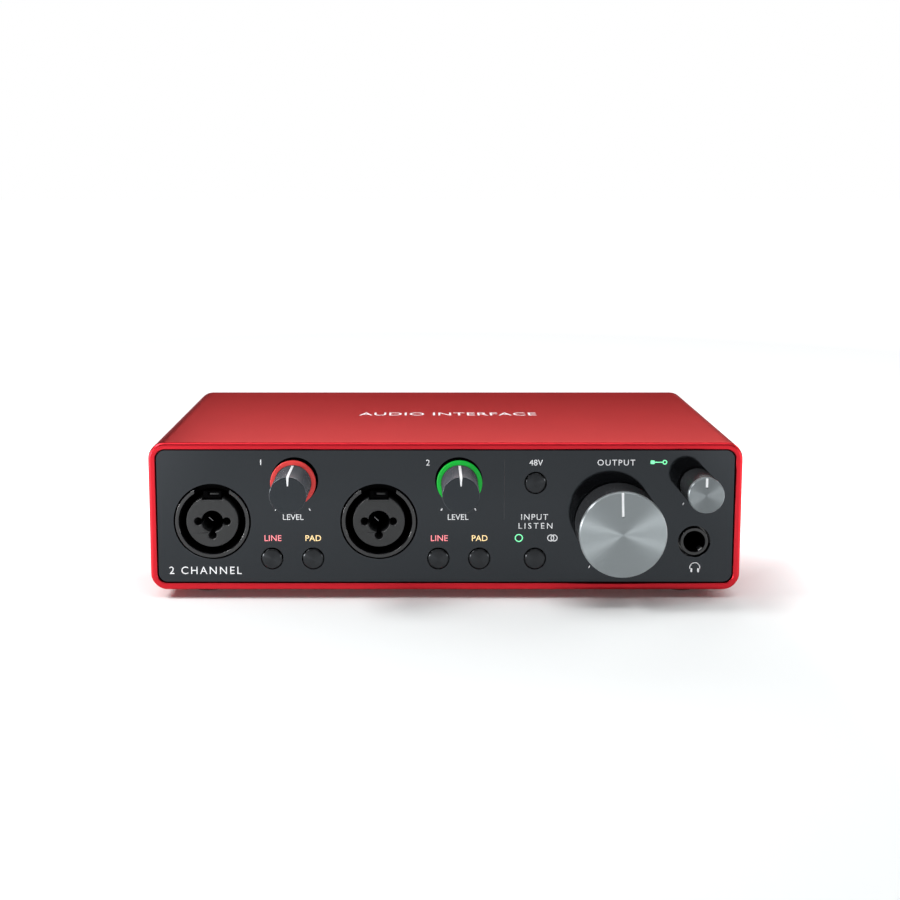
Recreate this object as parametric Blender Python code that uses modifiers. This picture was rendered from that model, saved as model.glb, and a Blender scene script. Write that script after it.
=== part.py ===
"""Two-channel desktop audio interface, modelled as separate pieces.

Metres, +Z up, the front faces -Y. The origin is at the bottom centre of the
whole object, on the surface that its feet stand on.
"""
import math

import bmesh
import bpy
from mathutils import Matrix

MM = 0.001

# ---- driving dimensions -------------------------------------------------
WIDTH = 175.0 * MM
HEIGHT = 47.5 * MM
DEPTH = 98.6 * MM                # rear edge to the front of the gain knobs
FOOT_HEIGHT = 2.8 * MM
GAIN_REACH = 16.4 * MM           # panel face to the gain knob's face
MONITOR_REACH = 12.7 * MM
PHONES_REACH = 13.7 * MM
WALL = 2.05 * MM
CORNER_RADIUS = 5.0 * MM
RIM_BEVEL = 0.7 * MM
PANEL_RECESS = 0.5 * MM
REAR_RECESS = 1.2 * MM
PANEL_THICKNESS = 2.0 * MM
GAP = 0.3 * MM                   # between pieces that touch on the real object
FINE_GAP = 0.1 * MM              # between pieces that are bonded or inlaid

# ---- places worked out from them ----------------------------------------
FRONT_FACE = -DEPTH / 2 + GAIN_REACH        # the panel's front face
CASE_FRONT = FRONT_FACE - PANEL_RECESS
CASE_REAR = DEPTH / 2
CASE_HEIGHT = HEIGHT - FOOT_HEIGHT
CASE_DEPTH = CASE_REAR - CASE_FRONT
CASE_MIDDLE_Z = FOOT_HEIGHT + CASE_HEIGHT / 2
PANEL_BACK = FRONT_FACE + PANEL_THICKNESS
REAR_FACE = CASE_REAR - REAR_RECESS
REAR_BACK = REAR_FACE - PANEL_THICKNESS

# ---- front layout: heights above the case's underside --------------------
COMBO_X = (-68.95 * MM, -19.65 * MM)        # channel 1, channel 2
GAIN_X = (-44.65 * MM, 4.1 * MM)
INST_X = (-51.35 * MM, -2.05 * MM)
PAD_X = (-39.2 * MM, 10.1 * MM)
COMBO_Z = FOOT_HEIGHT + 20.75 * MM
GAIN_Z = FOOT_HEIGHT + 33.1 * MM
BUTTON_Z = FOOT_HEIGHT + 9.55 * MM
SWITCH_COLUMN_X = 26.6 * MM      # phantom power above, direct monitoring below
PHANTOM_Z = FOOT_HEIGHT + 32.5 * MM
MONITOR_X = 50.6 * MM
MONITOR_Z = FOOT_HEIGHT + 20.5 * MM
PHONES_X = 73.8 * MM
PHONES_Z = FOOT_HEIGHT + 32.3 * MM
PHONES_JACK_Z = FOOT_HEIGHT + 14.7 * MM

# ---- sockets ---------------------------------------------------------------
COMBO_HOLE_R = 11.4 * MM
COMBO_FLANGE_R = 10.95 * MM
COMBO_FLANGE_LIP = 0.15 * MM     # how far the flange stands out of the panel
COMBO_BODY_R = 12.2 * MM
COMBO_BORE_R = 9.7 * MM
COMBO_DEPTH = 24.0 * MM
COMBO_FLOOR = 2.0 * MM
CORE_R = 7.7 * MM
CORE_RECESS = 0.05 * MM
JACK_BORE_R = 3.25 * MM
PIN_HOLE_R = 1.2 * MM
PIN_CIRCLE_R = 4.2 * MM
PIN_DEPTH = 17.0 * MM
PLUG_CLEARANCE = 1.0 * MM        # cutters run this far past what they cut
KEY_NOTCH_WIDTH = 10.4 * MM
KEY_WIDTH = 5.4 * MM
KEY_FLAT_Z = 6.5 * MM            # flat on the core, above the socket's centre
KEY_SETBACK = 1.0 * MM
PHONES_HOLE_R = 4.75 * MM
PHONES_BARREL_R = 4.1 * MM
PHONES_BORE_R = 3.4 * MM

# ---- knobs and buttons -----------------------------------------------------
GAIN_R = 5.3 * MM
HALO_R = 6.65 * MM
HALO_REACH = 2.85 * MM
HALO_THICKNESS = 0.9 * MM
COLLAR_BORE_R = 5.55 * MM
COLLAR_HOLE_R = 6.95 * MM
MONITOR_R = 12.6 * MM
PHONES_R = 5.15 * MM
CAP_THICKNESS = 1.3 * MM
KNOB_STANDOFF = 1.3 * MM         # panel face to the back of a knurled knob
SHAFT_R = 3.0 * MM
SHAFT_BORE_R = 3.2 * MM
SHAFT_HOLE_R = 3.9 * MM
POINTER_WIDTH = 0.75 * MM
BUTTON_R = 2.95 * MM
BUTTON_HOLE_R = 3.27 * MM
BUTTON_TRAVEL = 0.8 * MM
BUTTON_PROUD = 0.6 * MM
BUTTON_FLANGE_THICKNESS = 0.8 * MM
BUTTON_STEM_R = 1.5 * MM
SWITCH_SIZE = 6.0 * MM
SWITCH_HEIGHT = 3.5 * MM
POT_SIZE = 9.6 * MM
POT_LENGTH = 5.0 * MM
BUSHING_R = 4.4 * MM
SHAFT_END = 2.0 * MM             # how far the shaft stops short of the pot's back

# ---- boards behind the panel -----------------------------------------------
BOARD_THICKNESS = 1.6 * MM
FRONT_BOARD_Y = FRONT_FACE + 13.0 * MM      # the board's front surface
MAIN_BOARD_Z = FOOT_HEIGHT + 5.5 * MM       # the board's underside
TRAY_Z = FOOT_HEIGHT + WALL + GAP
SHEET = 1.0 * MM
TRAY_FRONT = FRONT_BOARD_Y + BOARD_THICKNESS + GAP
TRAY_REAR = REAR_BACK - GAP

# ---- rear layout -------------------------------------------------------------
LINE_OUT_X = (-58.0 * MM, -30.0 * MM)
LINE_OUT_Z = FOOT_HEIGHT + 16.0 * MM
LINE_OUT_BARREL_R = 5.2 * MM
USB_X = 34.0 * MM
USB_WIDTH = 8.94 * MM
USB_HEIGHT = 3.26 * MM
USB_Z = MAIN_BOARD_Z + BOARD_THICKNESS + GAP + USB_HEIGHT / 2
LOCK_X = 68.0 * MM
LOCK_SIZE = (7.0 * MM, 3.0 * MM)
SCREW_X = 79.5 * MM
SCREW_Z = (FOOT_HEIGHT + 7.0 * MM, FOOT_HEIGHT + CASE_HEIGHT - 7.0 * MM)
SCREW_R = 1.5 * MM

FORWARD = (math.pi / 2, 0, 0)    # turns local +Z to world -Y
BACKWARD = (-math.pi / 2, 0, 0)  # turns local +Z to world +Y


def new_collection(name):
    group = bpy.data.collections.new(name)
    bpy.context.scene.collection.children.link(group)
    return group


def material(name, color, roughness, metallic=0.0):
    made = bpy.data.materials.new(name)
    made.use_nodes = True
    shader = made.node_tree.nodes["Principled BSDF"]
    shader.inputs["Base Color"].default_value = (*color, 1.0)
    shader.inputs["Roughness"].default_value = roughness
    shader.inputs["Metallic"].default_value = metallic
    return made


def part(name, mesh, look, location=(0, 0, 0), rotation=(0, 0, 0), parent=None):
    """Add a mesh to the object as a named piece."""
    made = bpy.data.objects.new(name, mesh)
    made.location = location
    made.rotation_euler = rotation
    made.parent = parent
    mesh.materials.append(look)
    PARTS.objects.link(made)
    return made


def cutter(name, mesh, location=(0, 0, 0), rotation=(0, 0, 0), parent=None):
    """Add a mesh that only cuts or joins, and isn't a piece itself."""
    made = bpy.data.objects.new(name, mesh)
    made.location = location
    made.rotation_euler = rotation
    made.parent = parent
    made.hide_render = True
    made.display_type = "WIRE"
    CUTTERS.objects.link(made)
    return made


def combine(target, tool, operation="DIFFERENCE"):
    boolean = target.modifiers.new(tool.name, "BOOLEAN")
    boolean.object = tool
    boolean.operation = operation
    boolean.solver = "EXACT"


def bevel(target, width, segments=2, limit=50):
    made = target.modifiers.new("edges", "BEVEL")
    made.width = width
    made.segments = segments
    made.limit_method = "ANGLE"
    made.angle_limit = math.radians(limit)


def finish_mesh(name, bm, smooth=True):
    mesh = bpy.data.meshes.new(name)
    bm.to_mesh(mesh)
    bm.free()
    if smooth:
        mesh.shade_smooth()
        mesh.set_sharp_from_angle(angle=math.radians(35))
    return mesh


def box_mesh(name, size, centre=(0, 0, 0)):
    bm = bmesh.new()
    place = Matrix.Translation(centre) @ Matrix.Diagonal((*size, 1))
    bmesh.ops.create_cube(bm, size=1, matrix=place)
    return finish_mesh(name, bm, smooth=False)


def rods_mesh(name, rods, sides=32):
    """Cylinders along local Z, each (x, y, radius, bottom, top)."""
    bm = bmesh.new()
    for x, y, radius, bottom, top in rods:
        bmesh.ops.create_cone(
            bm, cap_ends=True, segments=sides, radius1=radius, radius2=radius,
            depth=top - bottom, matrix=Matrix.Translation((x, y, (bottom + top) / 2)))
    return finish_mesh(name, bm)


def turned(name, profile, look, location, rotation=FORWARD, sides=32, parent=None, closed=False):
    """Turn a profile of (radius, height) points about local Z.

    A solid's profile runs from the axis, down its outer side, and back to
    the axis. A ring's profile is closed.
    """
    bm = bmesh.new()
    points = [bm.verts.new((radius, 0, height)) for radius, height in profile]
    for first, second in zip(points, points[1:]):
        bm.edges.new((first, second))
    if closed:
        bm.edges.new((points[-1], points[0]))
    made = part(name, finish_mesh(name, bm, smooth=False), look, location, rotation, parent)
    screw = made.modifiers.new("turn", "SCREW")
    screw.steps = sides
    screw.render_steps = sides
    screw.use_merge_vertices = True
    screw.merge_threshold = 0.00001
    screw.use_smooth_shade = True
    return made


def axis_empty(name, location):
    """An empty on a moving group's axis, with local +Z to the front."""
    made = bpy.data.objects.new(name, None)
    made.location = location
    made.rotation_euler = FORWARD
    PARTS.objects.link(made)
    return made


# ---- enclosure ---------------------------------------------------------------
def build_sleeve():
    bm = bmesh.new()
    bmesh.ops.create_cube(bm, size=1, matrix=Matrix.Diagonal((WIDTH, CASE_DEPTH, CASE_HEIGHT, 1)))
    ends = [face for face in bm.faces if abs(face.normal.y) > 0.5]
    bmesh.ops.delete(bm, geom=ends, context="FACES_ONLY")
    place = (0, (CASE_FRONT + CASE_REAR) / 2, CASE_MIDDLE_Z)
    sleeve = part("case_sleeve", finish_mesh("case_sleeve", bm), ANODISED, place)
    bevel(sleeve, CORNER_RADIUS, segments=6)
    shell = sleeve.modifiers.new("wall", "SOLIDIFY")
    shell.thickness = WALL
    shell.offset = -1
    shell.use_even_offset = True
    bevel(sleeve, RIM_BEVEL, segments=2)


def fascia(name, look, face, inward):
    """A panel that fits the sleeve's opening; face is its outer plane."""
    width = WIDTH - 2 * (WALL + GAP)
    height = CASE_HEIGHT - 2 * (WALL + GAP)
    bm = bmesh.new()
    bmesh.ops.create_cube(bm, size=1, matrix=Matrix.Diagonal((width, PANEL_THICKNESS, height, 1)))
    corners = [edge for edge in bm.edges
               if abs(edge.verts[0].co.y - edge.verts[1].co.y) > PANEL_THICKNESS / 2]
    bmesh.ops.bevel(bm, geom=corners, offset=CORNER_RADIUS - WALL - GAP, segments=4,
                    profile=0.5, affect="EDGES")
    place = (0, face + inward * PANEL_THICKNESS / 2, CASE_MIDDLE_Z)
    return part(name, finish_mesh(name, bm), look, place)


def panel_holes(name, holes, sides=32):
    """Round holes through a fascia, each (x, z, radius)."""
    reach = 4 * PANEL_THICKNESS
    rods = [(x, z, radius, -reach, reach) for x, z, radius in holes]
    return rods_mesh(name, rods, sides)


def build_front_panel():
    panel = fascia("front_panel", GLOSS_BLACK, FRONT_FACE, 1)
    large = [(x, COMBO_Z, COMBO_HOLE_R) for x in COMBO_X]
    medium = [(x, GAIN_Z, COLLAR_HOLE_R) for x in GAIN_X]
    medium.append((PHONES_X, PHONES_JACK_Z, PHONES_HOLE_R))
    medium += [(x, z, BUTTON_HOLE_R) for x, z in BUTTONS.values()]
    medium += [(MONITOR_X, MONITOR_Z, SHAFT_HOLE_R), (PHONES_X, PHONES_Z, SHAFT_HOLE_R)]
    place = (0, FRONT_FACE, 0)
    for name, holes, sides in (("front_large_holes", large, 36), ("front_holes", medium, 20)):
        combine(panel, cutter(name, panel_holes(name, holes, sides), place, FORWARD))


def cut_rear_openings(target, plane):
    """Cut the holes for the outputs, screws and USB port, which the tray shares."""
    holes = [(x, LINE_OUT_Z, LINE_OUT_BARREL_R + GAP) for x in LINE_OUT_X]
    holes += [(x, z, SCREW_R + GAP) for x in (-SCREW_X, SCREW_X) for z in SCREW_Z]
    name = target.name + "_holes"
    combine(target, cutter(name, panel_holes(name, holes, 20), (0, plane, 0), FORWARD))
    name = target.name + "_usb_slot"
    slot = box_mesh(name, (USB_WIDTH + 2 * GAP, 4 * PANEL_THICKNESS, USB_HEIGHT + 2 * GAP))
    combine(target, cutter(name, slot, (USB_X, plane, USB_Z)))


def build_rear_panel():
    panel = fascia("rear_panel", MATTE_BLACK, REAR_FACE, -1)
    cut_rear_openings(panel, REAR_FACE)
    slot = box_mesh("lock_slot", (LOCK_SIZE[0], 4 * PANEL_THICKNESS, LOCK_SIZE[1]))
    combine(panel, cutter("lock_slot", slot, (LOCK_X, REAR_FACE, CASE_MIDDLE_Z)))


def build_tray():
    """A folded sheet: base, low front flange and tall rear flange, with board posts."""
    half_width = WIDTH / 2 - WALL - 2 * MM
    low, high = 5 * MM, CASE_HEIGHT - 2 * (WALL + GAP) - 1 * MM
    bm = bmesh.new()
    section = [(TRAY_FRONT, low), (TRAY_FRONT, 0), (TRAY_REAR, 0), (TRAY_REAR, high)]
    left, right = ([bm.verts.new((x, y, TRAY_Z + z)) for y, z in section]
                   for x in (-half_width, half_width))
    for step in range(len(section) - 1):
        bm.faces.new((right[step], right[step + 1], left[step + 1], left[step]))
    tray = part("chassis_tray", finish_mesh("chassis_tray", bm, smooth=False), STEEL)
    shell = tray.modifiers.new("sheet", "SOLIDIFY")
    shell.thickness = SHEET
    shell.offset = 1
    shell.use_even_offset = True
    posts = [(x, y, 2.5 * MM, TRAY_Z + SHEET / 2, MAIN_BOARD_Z - GAP)
             for x in (-70 * MM, 70 * MM) for y in (-2 * MM, 38 * MM)]
    combine(tray, cutter("tray_posts", rods_mesh("tray_posts", posts, 8)), "UNION")
    cut_rear_openings(tray, TRAY_REAR)


def build_feet():
    radius, chamfer, top = 7.0 * MM, 0.7 * MM, FINE_GAP - FOOT_HEIGHT
    profile = [(0, 0), (radius - chamfer, 0), (radius, -chamfer), (radius, top), (0, top)]
    for end, y in (("front", CASE_FRONT + 14 * MM), ("rear", CASE_REAR - 12 * MM)):
        for side, x in (("left", -72 * MM), ("right", 72 * MM)):
            turned(f"foot_{end}_{side}", profile, RUBBER, (x, y, 0), (math.pi, 0, 0), 20)


def build_rear_screws():
    head_r, head_height, length, drive_r = 2.7 * MM, 1.0 * MM, 5.0 * MM, 1.0 * MM
    profile = [(0, head_height), (2.0 * MM, head_height), (head_r, head_height / 2), (head_r, 0),
               (SCREW_R, 0), (SCREW_R, -length), (0, -length)]
    places = [(x, z) for z in SCREW_Z for x in (-SCREW_X, SCREW_X)]
    for number, (x, z) in enumerate(places, 1):
        place = (x, REAR_FACE + FINE_GAP, z)
        screw = turned(f"rear_screw_{number}", profile, STEEL, place, BACKWARD, 12)
        name = f"screw_drive_{number}"
        drive = rods_mesh(name, [(0, 0, drive_r, GAP, 3 * head_height)], 6)
        combine(screw, cutter(name, drive, place, BACKWARD))


# ---- sockets -----------------------------------------------------------------
def build_combo(number, x):
    """Housing, core and key block of one input socket; local +Z is forward."""
    place = (x, FRONT_FACE, COMBO_Z)
    chamfer = 0.2 * MM
    lip = COMBO_FLANGE_LIP
    behind = -PANEL_THICKNESS - GAP
    floor = -COMBO_DEPTH + COMBO_FLOOR
    housing = turned(f"combo_housing_{number}", [
        (0, floor), (COMBO_BORE_R, floor), (COMBO_BORE_R, lip - chamfer), (COMBO_BORE_R + chamfer, lip),
        (COMBO_FLANGE_R - lip, lip), (COMBO_FLANGE_R, 0), (COMBO_FLANGE_R, behind),
        (COMBO_BODY_R, behind), (COMBO_BODY_R, -COMBO_DEPTH), (0, -COMBO_DEPTH)],
        MATTE_BLACK, place, sides=36)
    notch_height = 6 * MM
    notch_z = COMBO_BORE_R - 2 * MM + notch_height / 2
    name = f"key_notch_{number}"
    notch = box_mesh(name, (KEY_NOTCH_WIDTH, 5 * MM, notch_height), (0, 0, notch_z))
    combine(housing, cutter(name, notch, place))

    top, bottom = -CORE_RECESS, floor + GAP
    core = turned(f"combo_core_{number}", [
        (0, top), (CORE_R - chamfer, top), (CORE_R, top - chamfer), (CORE_R, bottom), (0, bottom)],
        GREY_PLASTIC, place, sides=36)
    name = f"jack_bore_{number}"
    bore = rods_mesh(name, [(0, 0, JACK_BORE_R, -PIN_DEPTH - 2 * MM, PLUG_CLEARANCE)], 24)
    combine(core, cutter(name, bore, place, FORWARD))
    name = f"pin_holes_{number}"
    angles = [math.radians(degrees) for degrees in (0, 180, 270)]
    pins = [(PIN_CIRCLE_R * math.cos(a), PIN_CIRCLE_R * math.sin(a), PIN_HOLE_R, -PIN_DEPTH, PLUG_CLEARANCE)
            for a in angles]
    combine(core, cutter(name, rods_mesh(name, pins, 12), place, FORWARD))
    name = f"key_flat_{number}"
    flat_height = 4 * MM
    flat = box_mesh(name, (KEY_WIDTH + 2 * GAP, 3 * COMBO_DEPTH, flat_height),
                    (0, 0, KEY_FLAT_Z + flat_height / 2))
    combine(core, cutter(name, flat, place))

    key_low, key_high = KEY_FLAT_Z + GAP, COMBO_BORE_R - 2 * GAP
    key_rear = COMBO_DEPTH - COMBO_FLOOR - GAP
    key = box_mesh(f"combo_key_{number}", (KEY_WIDTH, key_rear - KEY_SETBACK, key_high - key_low),
                   (0, (KEY_SETBACK + key_rear) / 2, (key_low + key_high) / 2))
    part(f"combo_key_{number}", key, MATTE_BLACK, place)


def build_phones_jack():
    """A barrel in the panel with its box-shaped body behind."""
    place = (PHONES_X, FRONT_FACE, PHONES_JACK_Z)
    behind = PANEL_THICKNESS + GAP
    length, wall = 15 * MM, 1.5 * MM
    body = box_mesh("phones_jack", (10 * MM, length, 11 * MM), (0, behind + length / 2, 0))
    jack = part("phones_jack", body, MATTE_BLACK, place)
    barrel = rods_mesh("phones_barrel", [(0, 0, PHONES_BARREL_R, -behind - wall, 0)], 24)
    combine(jack, cutter("phones_barrel", barrel, place, FORWARD), "UNION")
    bore = rods_mesh("phones_bore", [(0, 0, PHONES_BORE_R, -behind - length + wall, PLUG_CLEARANCE)], 24)
    combine(jack, cutter("phones_bore", bore, place, FORWARD))


def build_line_outs():
    length, wall = 18 * MM, 1.5 * MM
    inner = TRAY_REAR - SHEET - GAP
    barrel_length = REAR_FACE + 0.6 * MM - inner
    for side, x in zip(("right", "left"), LINE_OUT_X):
        name = f"line_out_jack_{side}"
        place = (x, inner, LINE_OUT_Z)
        body = box_mesh(name, (14 * MM, length, 13 * MM), (0, -length / 2, 0))
        jack = part(name, body, MATTE_BLACK, place)
        barrel = rods_mesh(name + "_barrel", [(0, 0, LINE_OUT_BARREL_R, -wall, barrel_length)], 24)
        combine(jack, cutter(name + "_barrel", barrel, place, BACKWARD), "UNION")
        reach = barrel_length + PLUG_CLEARANCE
        bore = rods_mesh(name + "_bore", [(0, 0, JACK_BORE_R, -length + wall, reach)], 24)
        combine(jack, cutter(name + "_bore", bore, place, BACKWARD))


def build_usb():
    """A flattened tube shell, round-ended, with its contact tongue inside."""
    length, wall = 8.5 * MM, 0.3 * MM
    place = (USB_X, REAR_FACE - length / 2, USB_Z)
    bm = bmesh.new()
    bmesh.ops.create_cube(bm, size=1, matrix=Matrix.Diagonal((USB_WIDTH, length, USB_HEIGHT, 1)))
    mouth = [face for face in bm.faces if face.normal.y > 0.5]
    bmesh.ops.delete(bm, geom=mouth, context="FACES_ONLY")
    port = part("usb_port", finish_mesh("usb_port", bm), STEEL, place)
    round_ends = port.modifiers.new("ends", "BEVEL")
    round_ends.width = USB_HEIGHT * 0.42
    round_ends.segments = 4
    round_ends.limit_method = "WEIGHT"
    weights = port.data.attributes.new("bevel_weight_edge", "FLOAT", "EDGE")
    for edge in port.data.edges:
        first, second = (port.data.vertices[index].co for index in edge.vertices)
        weights.data[edge.index].value = 1.0 if abs(first.y - second.y) > length / 2 else 0.0
    shell = port.modifiers.new("wall", "SOLIDIFY")
    shell.thickness = wall
    shell.offset = -1
    shell.use_even_offset = True
    tongue = box_mesh("usb_tongue", (6.2 * MM, length - 1.6 * MM, 0.7 * MM))
    part("usb_tongue", tongue, MATTE_BLACK, place)


# ---- knobs -------------------------------------------------------------------
def build_pot(name, x, z):
    """A potentiometer: square body on the front board and a bored bushing."""
    body_front = FRONT_BOARD_Y - GAP - POT_LENGTH
    place = (x, body_front, z)
    body = box_mesh(name, (POT_SIZE, POT_LENGTH, POT_SIZE), (0, POT_LENGTH / 2, 0))
    pot = part(name, body, STEEL, place)
    tip = body_front - PANEL_BACK - GAP
    bushing = rods_mesh(name + "_bushing", [(0, 0, BUSHING_R, -0.5 * MM, tip)], 16)
    combine(pot, cutter(name + "_bushing", bushing, place, FORWARD), "UNION")
    bore = rods_mesh(name + "_bore", [(0, 0, SHAFT_BORE_R, -SHAFT_END, tip + PLUG_CLEARANCE)], 16)
    combine(pot, cutter(name + "_bore", bore, place, FORWARD))


def build_shaft(name, reach, parent):
    """A pot's shaft; reach is how far it stands out of the panel's face."""
    chamfer = 0.4 * MM
    base = FRONT_FACE - FRONT_BOARD_Y + POT_LENGTH - SHAFT_END + 2 * GAP
    turned(name, [(0, reach), (SHAFT_R - chamfer, reach), (SHAFT_R, reach - chamfer),
                  (SHAFT_R, base), (0, base)], STEEL, (0, 0, 0), (0, 0, 0), 16, parent)


def build_gain(number, x):
    spin = axis_empty(f"gain_axis_{number}", (x, FRONT_FACE, GAIN_Z))
    back, edge, skirt = 0.6 * MM, 0.2 * MM, GAIN_REACH - 8 * MM
    name = f"gain_knob_{number}"
    knob = turned(name, [
        (0, GAIN_REACH), (GAIN_R - edge, GAIN_REACH), (GAIN_R, GAIN_REACH - edge), (GAIN_R, back),
        (SHAFT_BORE_R, back), (SHAFT_BORE_R, skirt), (0, skirt)],
        DARK_PLASTIC, (0, 0, 0), (0, 0, 0), 28, spin)
    inlay = 0.45 * MM
    inner_end = GAIN_R * 0.5
    start = HALO_REACH + 0.3 * MM

    def pointer_box(box_name, spare):
        """The pointer's two arms as one L-shaped mesh, grown by spare on its hidden sides."""
        bm = bmesh.new()
        top = GAIN_R + spare
        front = GAIN_REACH + spare
        low = GAIN_R - inlay - spare
        rear = GAIN_REACH - inlay - spare
        outline = [(start - spare, low), (rear, low), (rear, inner_end - spare),
                   (front, inner_end - spare), (front, top), (start - spare, top)]
        half = POINTER_WIDTH / 2 + spare
        ring = [bm.verts.new((-half, y, z)) for z, y in outline]
        face = bm.faces.new(ring)
        grown = bmesh.ops.extrude_face_region(bm, geom=[face])["geom"]
        moved = [vert for vert in grown if isinstance(vert, bmesh.types.BMVert)]
        bmesh.ops.translate(bm, vec=(2 * half, 0, 0), verts=moved)
        bmesh.ops.recalc_face_normals(bm, faces=bm.faces)
        return finish_mesh(box_name, bm, smooth=False)

    groove = cutter(f"gain_groove_{number}", pointer_box(f"gain_groove_{number}", FINE_GAP), parent=spin)
    combine(knob, groove)
    part(f"gain_pointer_{number}", pointer_box(f"gain_pointer_{number}", 0), WHITE, parent=spin)
    build_shaft(f"gain_shaft_{number}", skirt - GAP, spin)

    place = (x, FRONT_FACE, GAIN_Z)
    edge, halo_back = 0.1 * MM, HALO_REACH - HALO_THICKNESS
    turned(f"gain_halo_{number}", [
        (HALO_R - edge, HALO_REACH), (HALO_R, HALO_REACH - edge), (HALO_R, halo_back),
        (COLLAR_BORE_R, halo_back), (COLLAR_BORE_R, HALO_REACH)], LIT[number], place, closed=True)
    top, behind = halo_back - FINE_GAP, -PANEL_THICKNESS - GAP
    flange_r, flange_back = HALO_R + 1.2 * MM, behind - 1 * MM
    turned(f"gain_collar_{number}", [
        (HALO_R, top), (HALO_R, behind), (flange_r, behind), (flange_r, flange_back),
        (COLLAR_BORE_R, flange_back), (COLLAR_BORE_R, top)], MATTE_BLACK, place, closed=True)
    build_pot(f"gain_pot_{number}", x, GAIN_Z)


def build_capped_knob(kind, x, z, radius, reach, sides):
    """A knurled body with a turned aluminium cap, whose pointer is a milled groove.

    A wide knob is hollow between its skirt and its hub.
    """
    spin = axis_empty(f"{kind}_axis", (x, FRONT_FACE, z))
    cap_back = reach - CAP_THICKNESS
    grip, skirt, bore_end = radius - FINE_GAP, radius - 1.6 * MM, cap_back - 3.5 * MM
    hub, hollow_end = SHAFT_R + 2 * MM, cap_back - 3 * MM
    profile = [(0, cap_back - FINE_GAP), (grip, cap_back - FINE_GAP), (grip, KNOB_STANDOFF)]
    if radius > 2 * SHAFT_R:
        profile += [(skirt, KNOB_STANDOFF), (skirt, hollow_end), (hub, hollow_end), (hub, KNOB_STANDOFF)]
    profile += [(SHAFT_BORE_R, KNOB_STANDOFF), (SHAFT_BORE_R, bore_end), (0, bore_end)]
    turned(f"{kind}_knob", profile, MATTE_BLACK, (0, 0, 0), (0, 0, 0), sides, spin)
    edge = 0.3 * MM
    cap = turned(f"{kind}_knob_cap", [
        (0, reach), (radius - edge, reach), (radius, reach - edge), (radius, cap_back), (0, cap_back)],
        ALUMINIUM, (0, 0, 0), (0, 0, 0), sides, spin)
    end, past = radius * 0.42, radius + 1 * MM
    groove = box_mesh(f"{kind}_groove", (POINTER_WIDTH, past - end, 0.7 * MM), (0, (past + end) / 2, reach))
    combine(cap, cutter(f"{kind}_groove", groove, parent=spin))
    build_shaft(f"{kind}_shaft", bore_end - GAP, spin)
    build_pot(f"{kind}_pot", x, z)


# ---- buttons -----------------------------------------------------------------
def button_part(kind, noun):
    """The name of one piece of a button: inst_1 and switch make inst_switch_1."""
    stem, _, number = kind.partition("_")
    return "_".join(filter(None, (stem, noun, number)))


def build_button(kind, x, z):
    """A push button, held behind the panel by its flange, and its switch."""
    behind = -PANEL_THICKNESS - GAP
    flange_r, flange_back = BUTTON_HOLE_R + 0.6 * MM, behind - BUTTON_FLANGE_THICKNESS
    edge = 0.25 * MM
    switch_y = FRONT_BOARD_Y - GAP - SWITCH_HEIGHT
    stem_end = FRONT_FACE - switch_y + BUTTON_TRAVEL + GAP
    turned(button_part(kind, "button"), [
        (0, BUTTON_PROUD), (BUTTON_R - edge, BUTTON_PROUD), (BUTTON_R, BUTTON_PROUD - edge),
        (BUTTON_R, behind), (flange_r, behind), (flange_r, flange_back),
        (BUTTON_STEM_R, flange_back), (BUTTON_STEM_R, stem_end), (0, stem_end)],
        DARK_METAL, (x, FRONT_FACE, z), sides=20)
    name = button_part(kind, "switch")
    switch = box_mesh(name, (SWITCH_SIZE, SWITCH_HEIGHT, SWITCH_SIZE), (0, SWITCH_HEIGHT / 2, 0))
    part(name, switch, MATTE_BLACK, (x, switch_y, z))


# ---- boards ------------------------------------------------------------------
def build_boards():
    width = WIDTH - 2 * WALL - 6 * MM
    height = CASE_HEIGHT - 2 * WALL - 6 * MM
    place = (0, FRONT_BOARD_Y + BOARD_THICKNESS / 2, CASE_MIDDLE_Z)
    front = part("front_board", box_mesh("front_board", (width, BOARD_THICKNESS, height)), BOARD_GREEN, place)
    sockets = [(x, COMBO_Z, COMBO_BODY_R + 2 * GAP) for x in COMBO_X]
    holes = panel_holes("board_holes", sockets, 28)
    combine(front, cutter("board_holes", holes, (0, FRONT_BOARD_Y, 0), FORWARD))
    jack_slot = box_mesh("board_jack_slot", (11 * MM, 20 * MM, 12 * MM))
    combine(front, cutter("board_jack_slot", jack_slot, (PHONES_X, FRONT_BOARD_Y, PHONES_JACK_Z)))
    main_front, main_rear = TRAY_FRONT + SHEET + 1 * MM, TRAY_REAR - SHEET - GAP
    main_width = 2 * (SCREW_X - 4 * MM)
    main = box_mesh("main_board", (main_width, main_rear - main_front, BOARD_THICKNESS))
    place = (0, (main_front + main_rear) / 2, MAIN_BOARD_Z + BOARD_THICKNESS / 2)
    part("main_board", main, BOARD_GREEN, place)
    header_size = (30 * MM, 5 * MM, 4 * MM)
    header_front = TRAY_FRONT + SHEET + GAP
    header_low = MAIN_BOARD_Z + BOARD_THICKNESS + GAP
    place = (10 * MM, header_front + header_size[1] / 2, header_low + header_size[2] / 2)
    part("board_header", box_mesh("board_header", header_size), MATTE_BLACK, place)


for leftover in list(bpy.data.objects):
    bpy.data.objects.remove(leftover)
PARTS = new_collection("audio_interface")
CUTTERS = new_collection("cutters")

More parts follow.
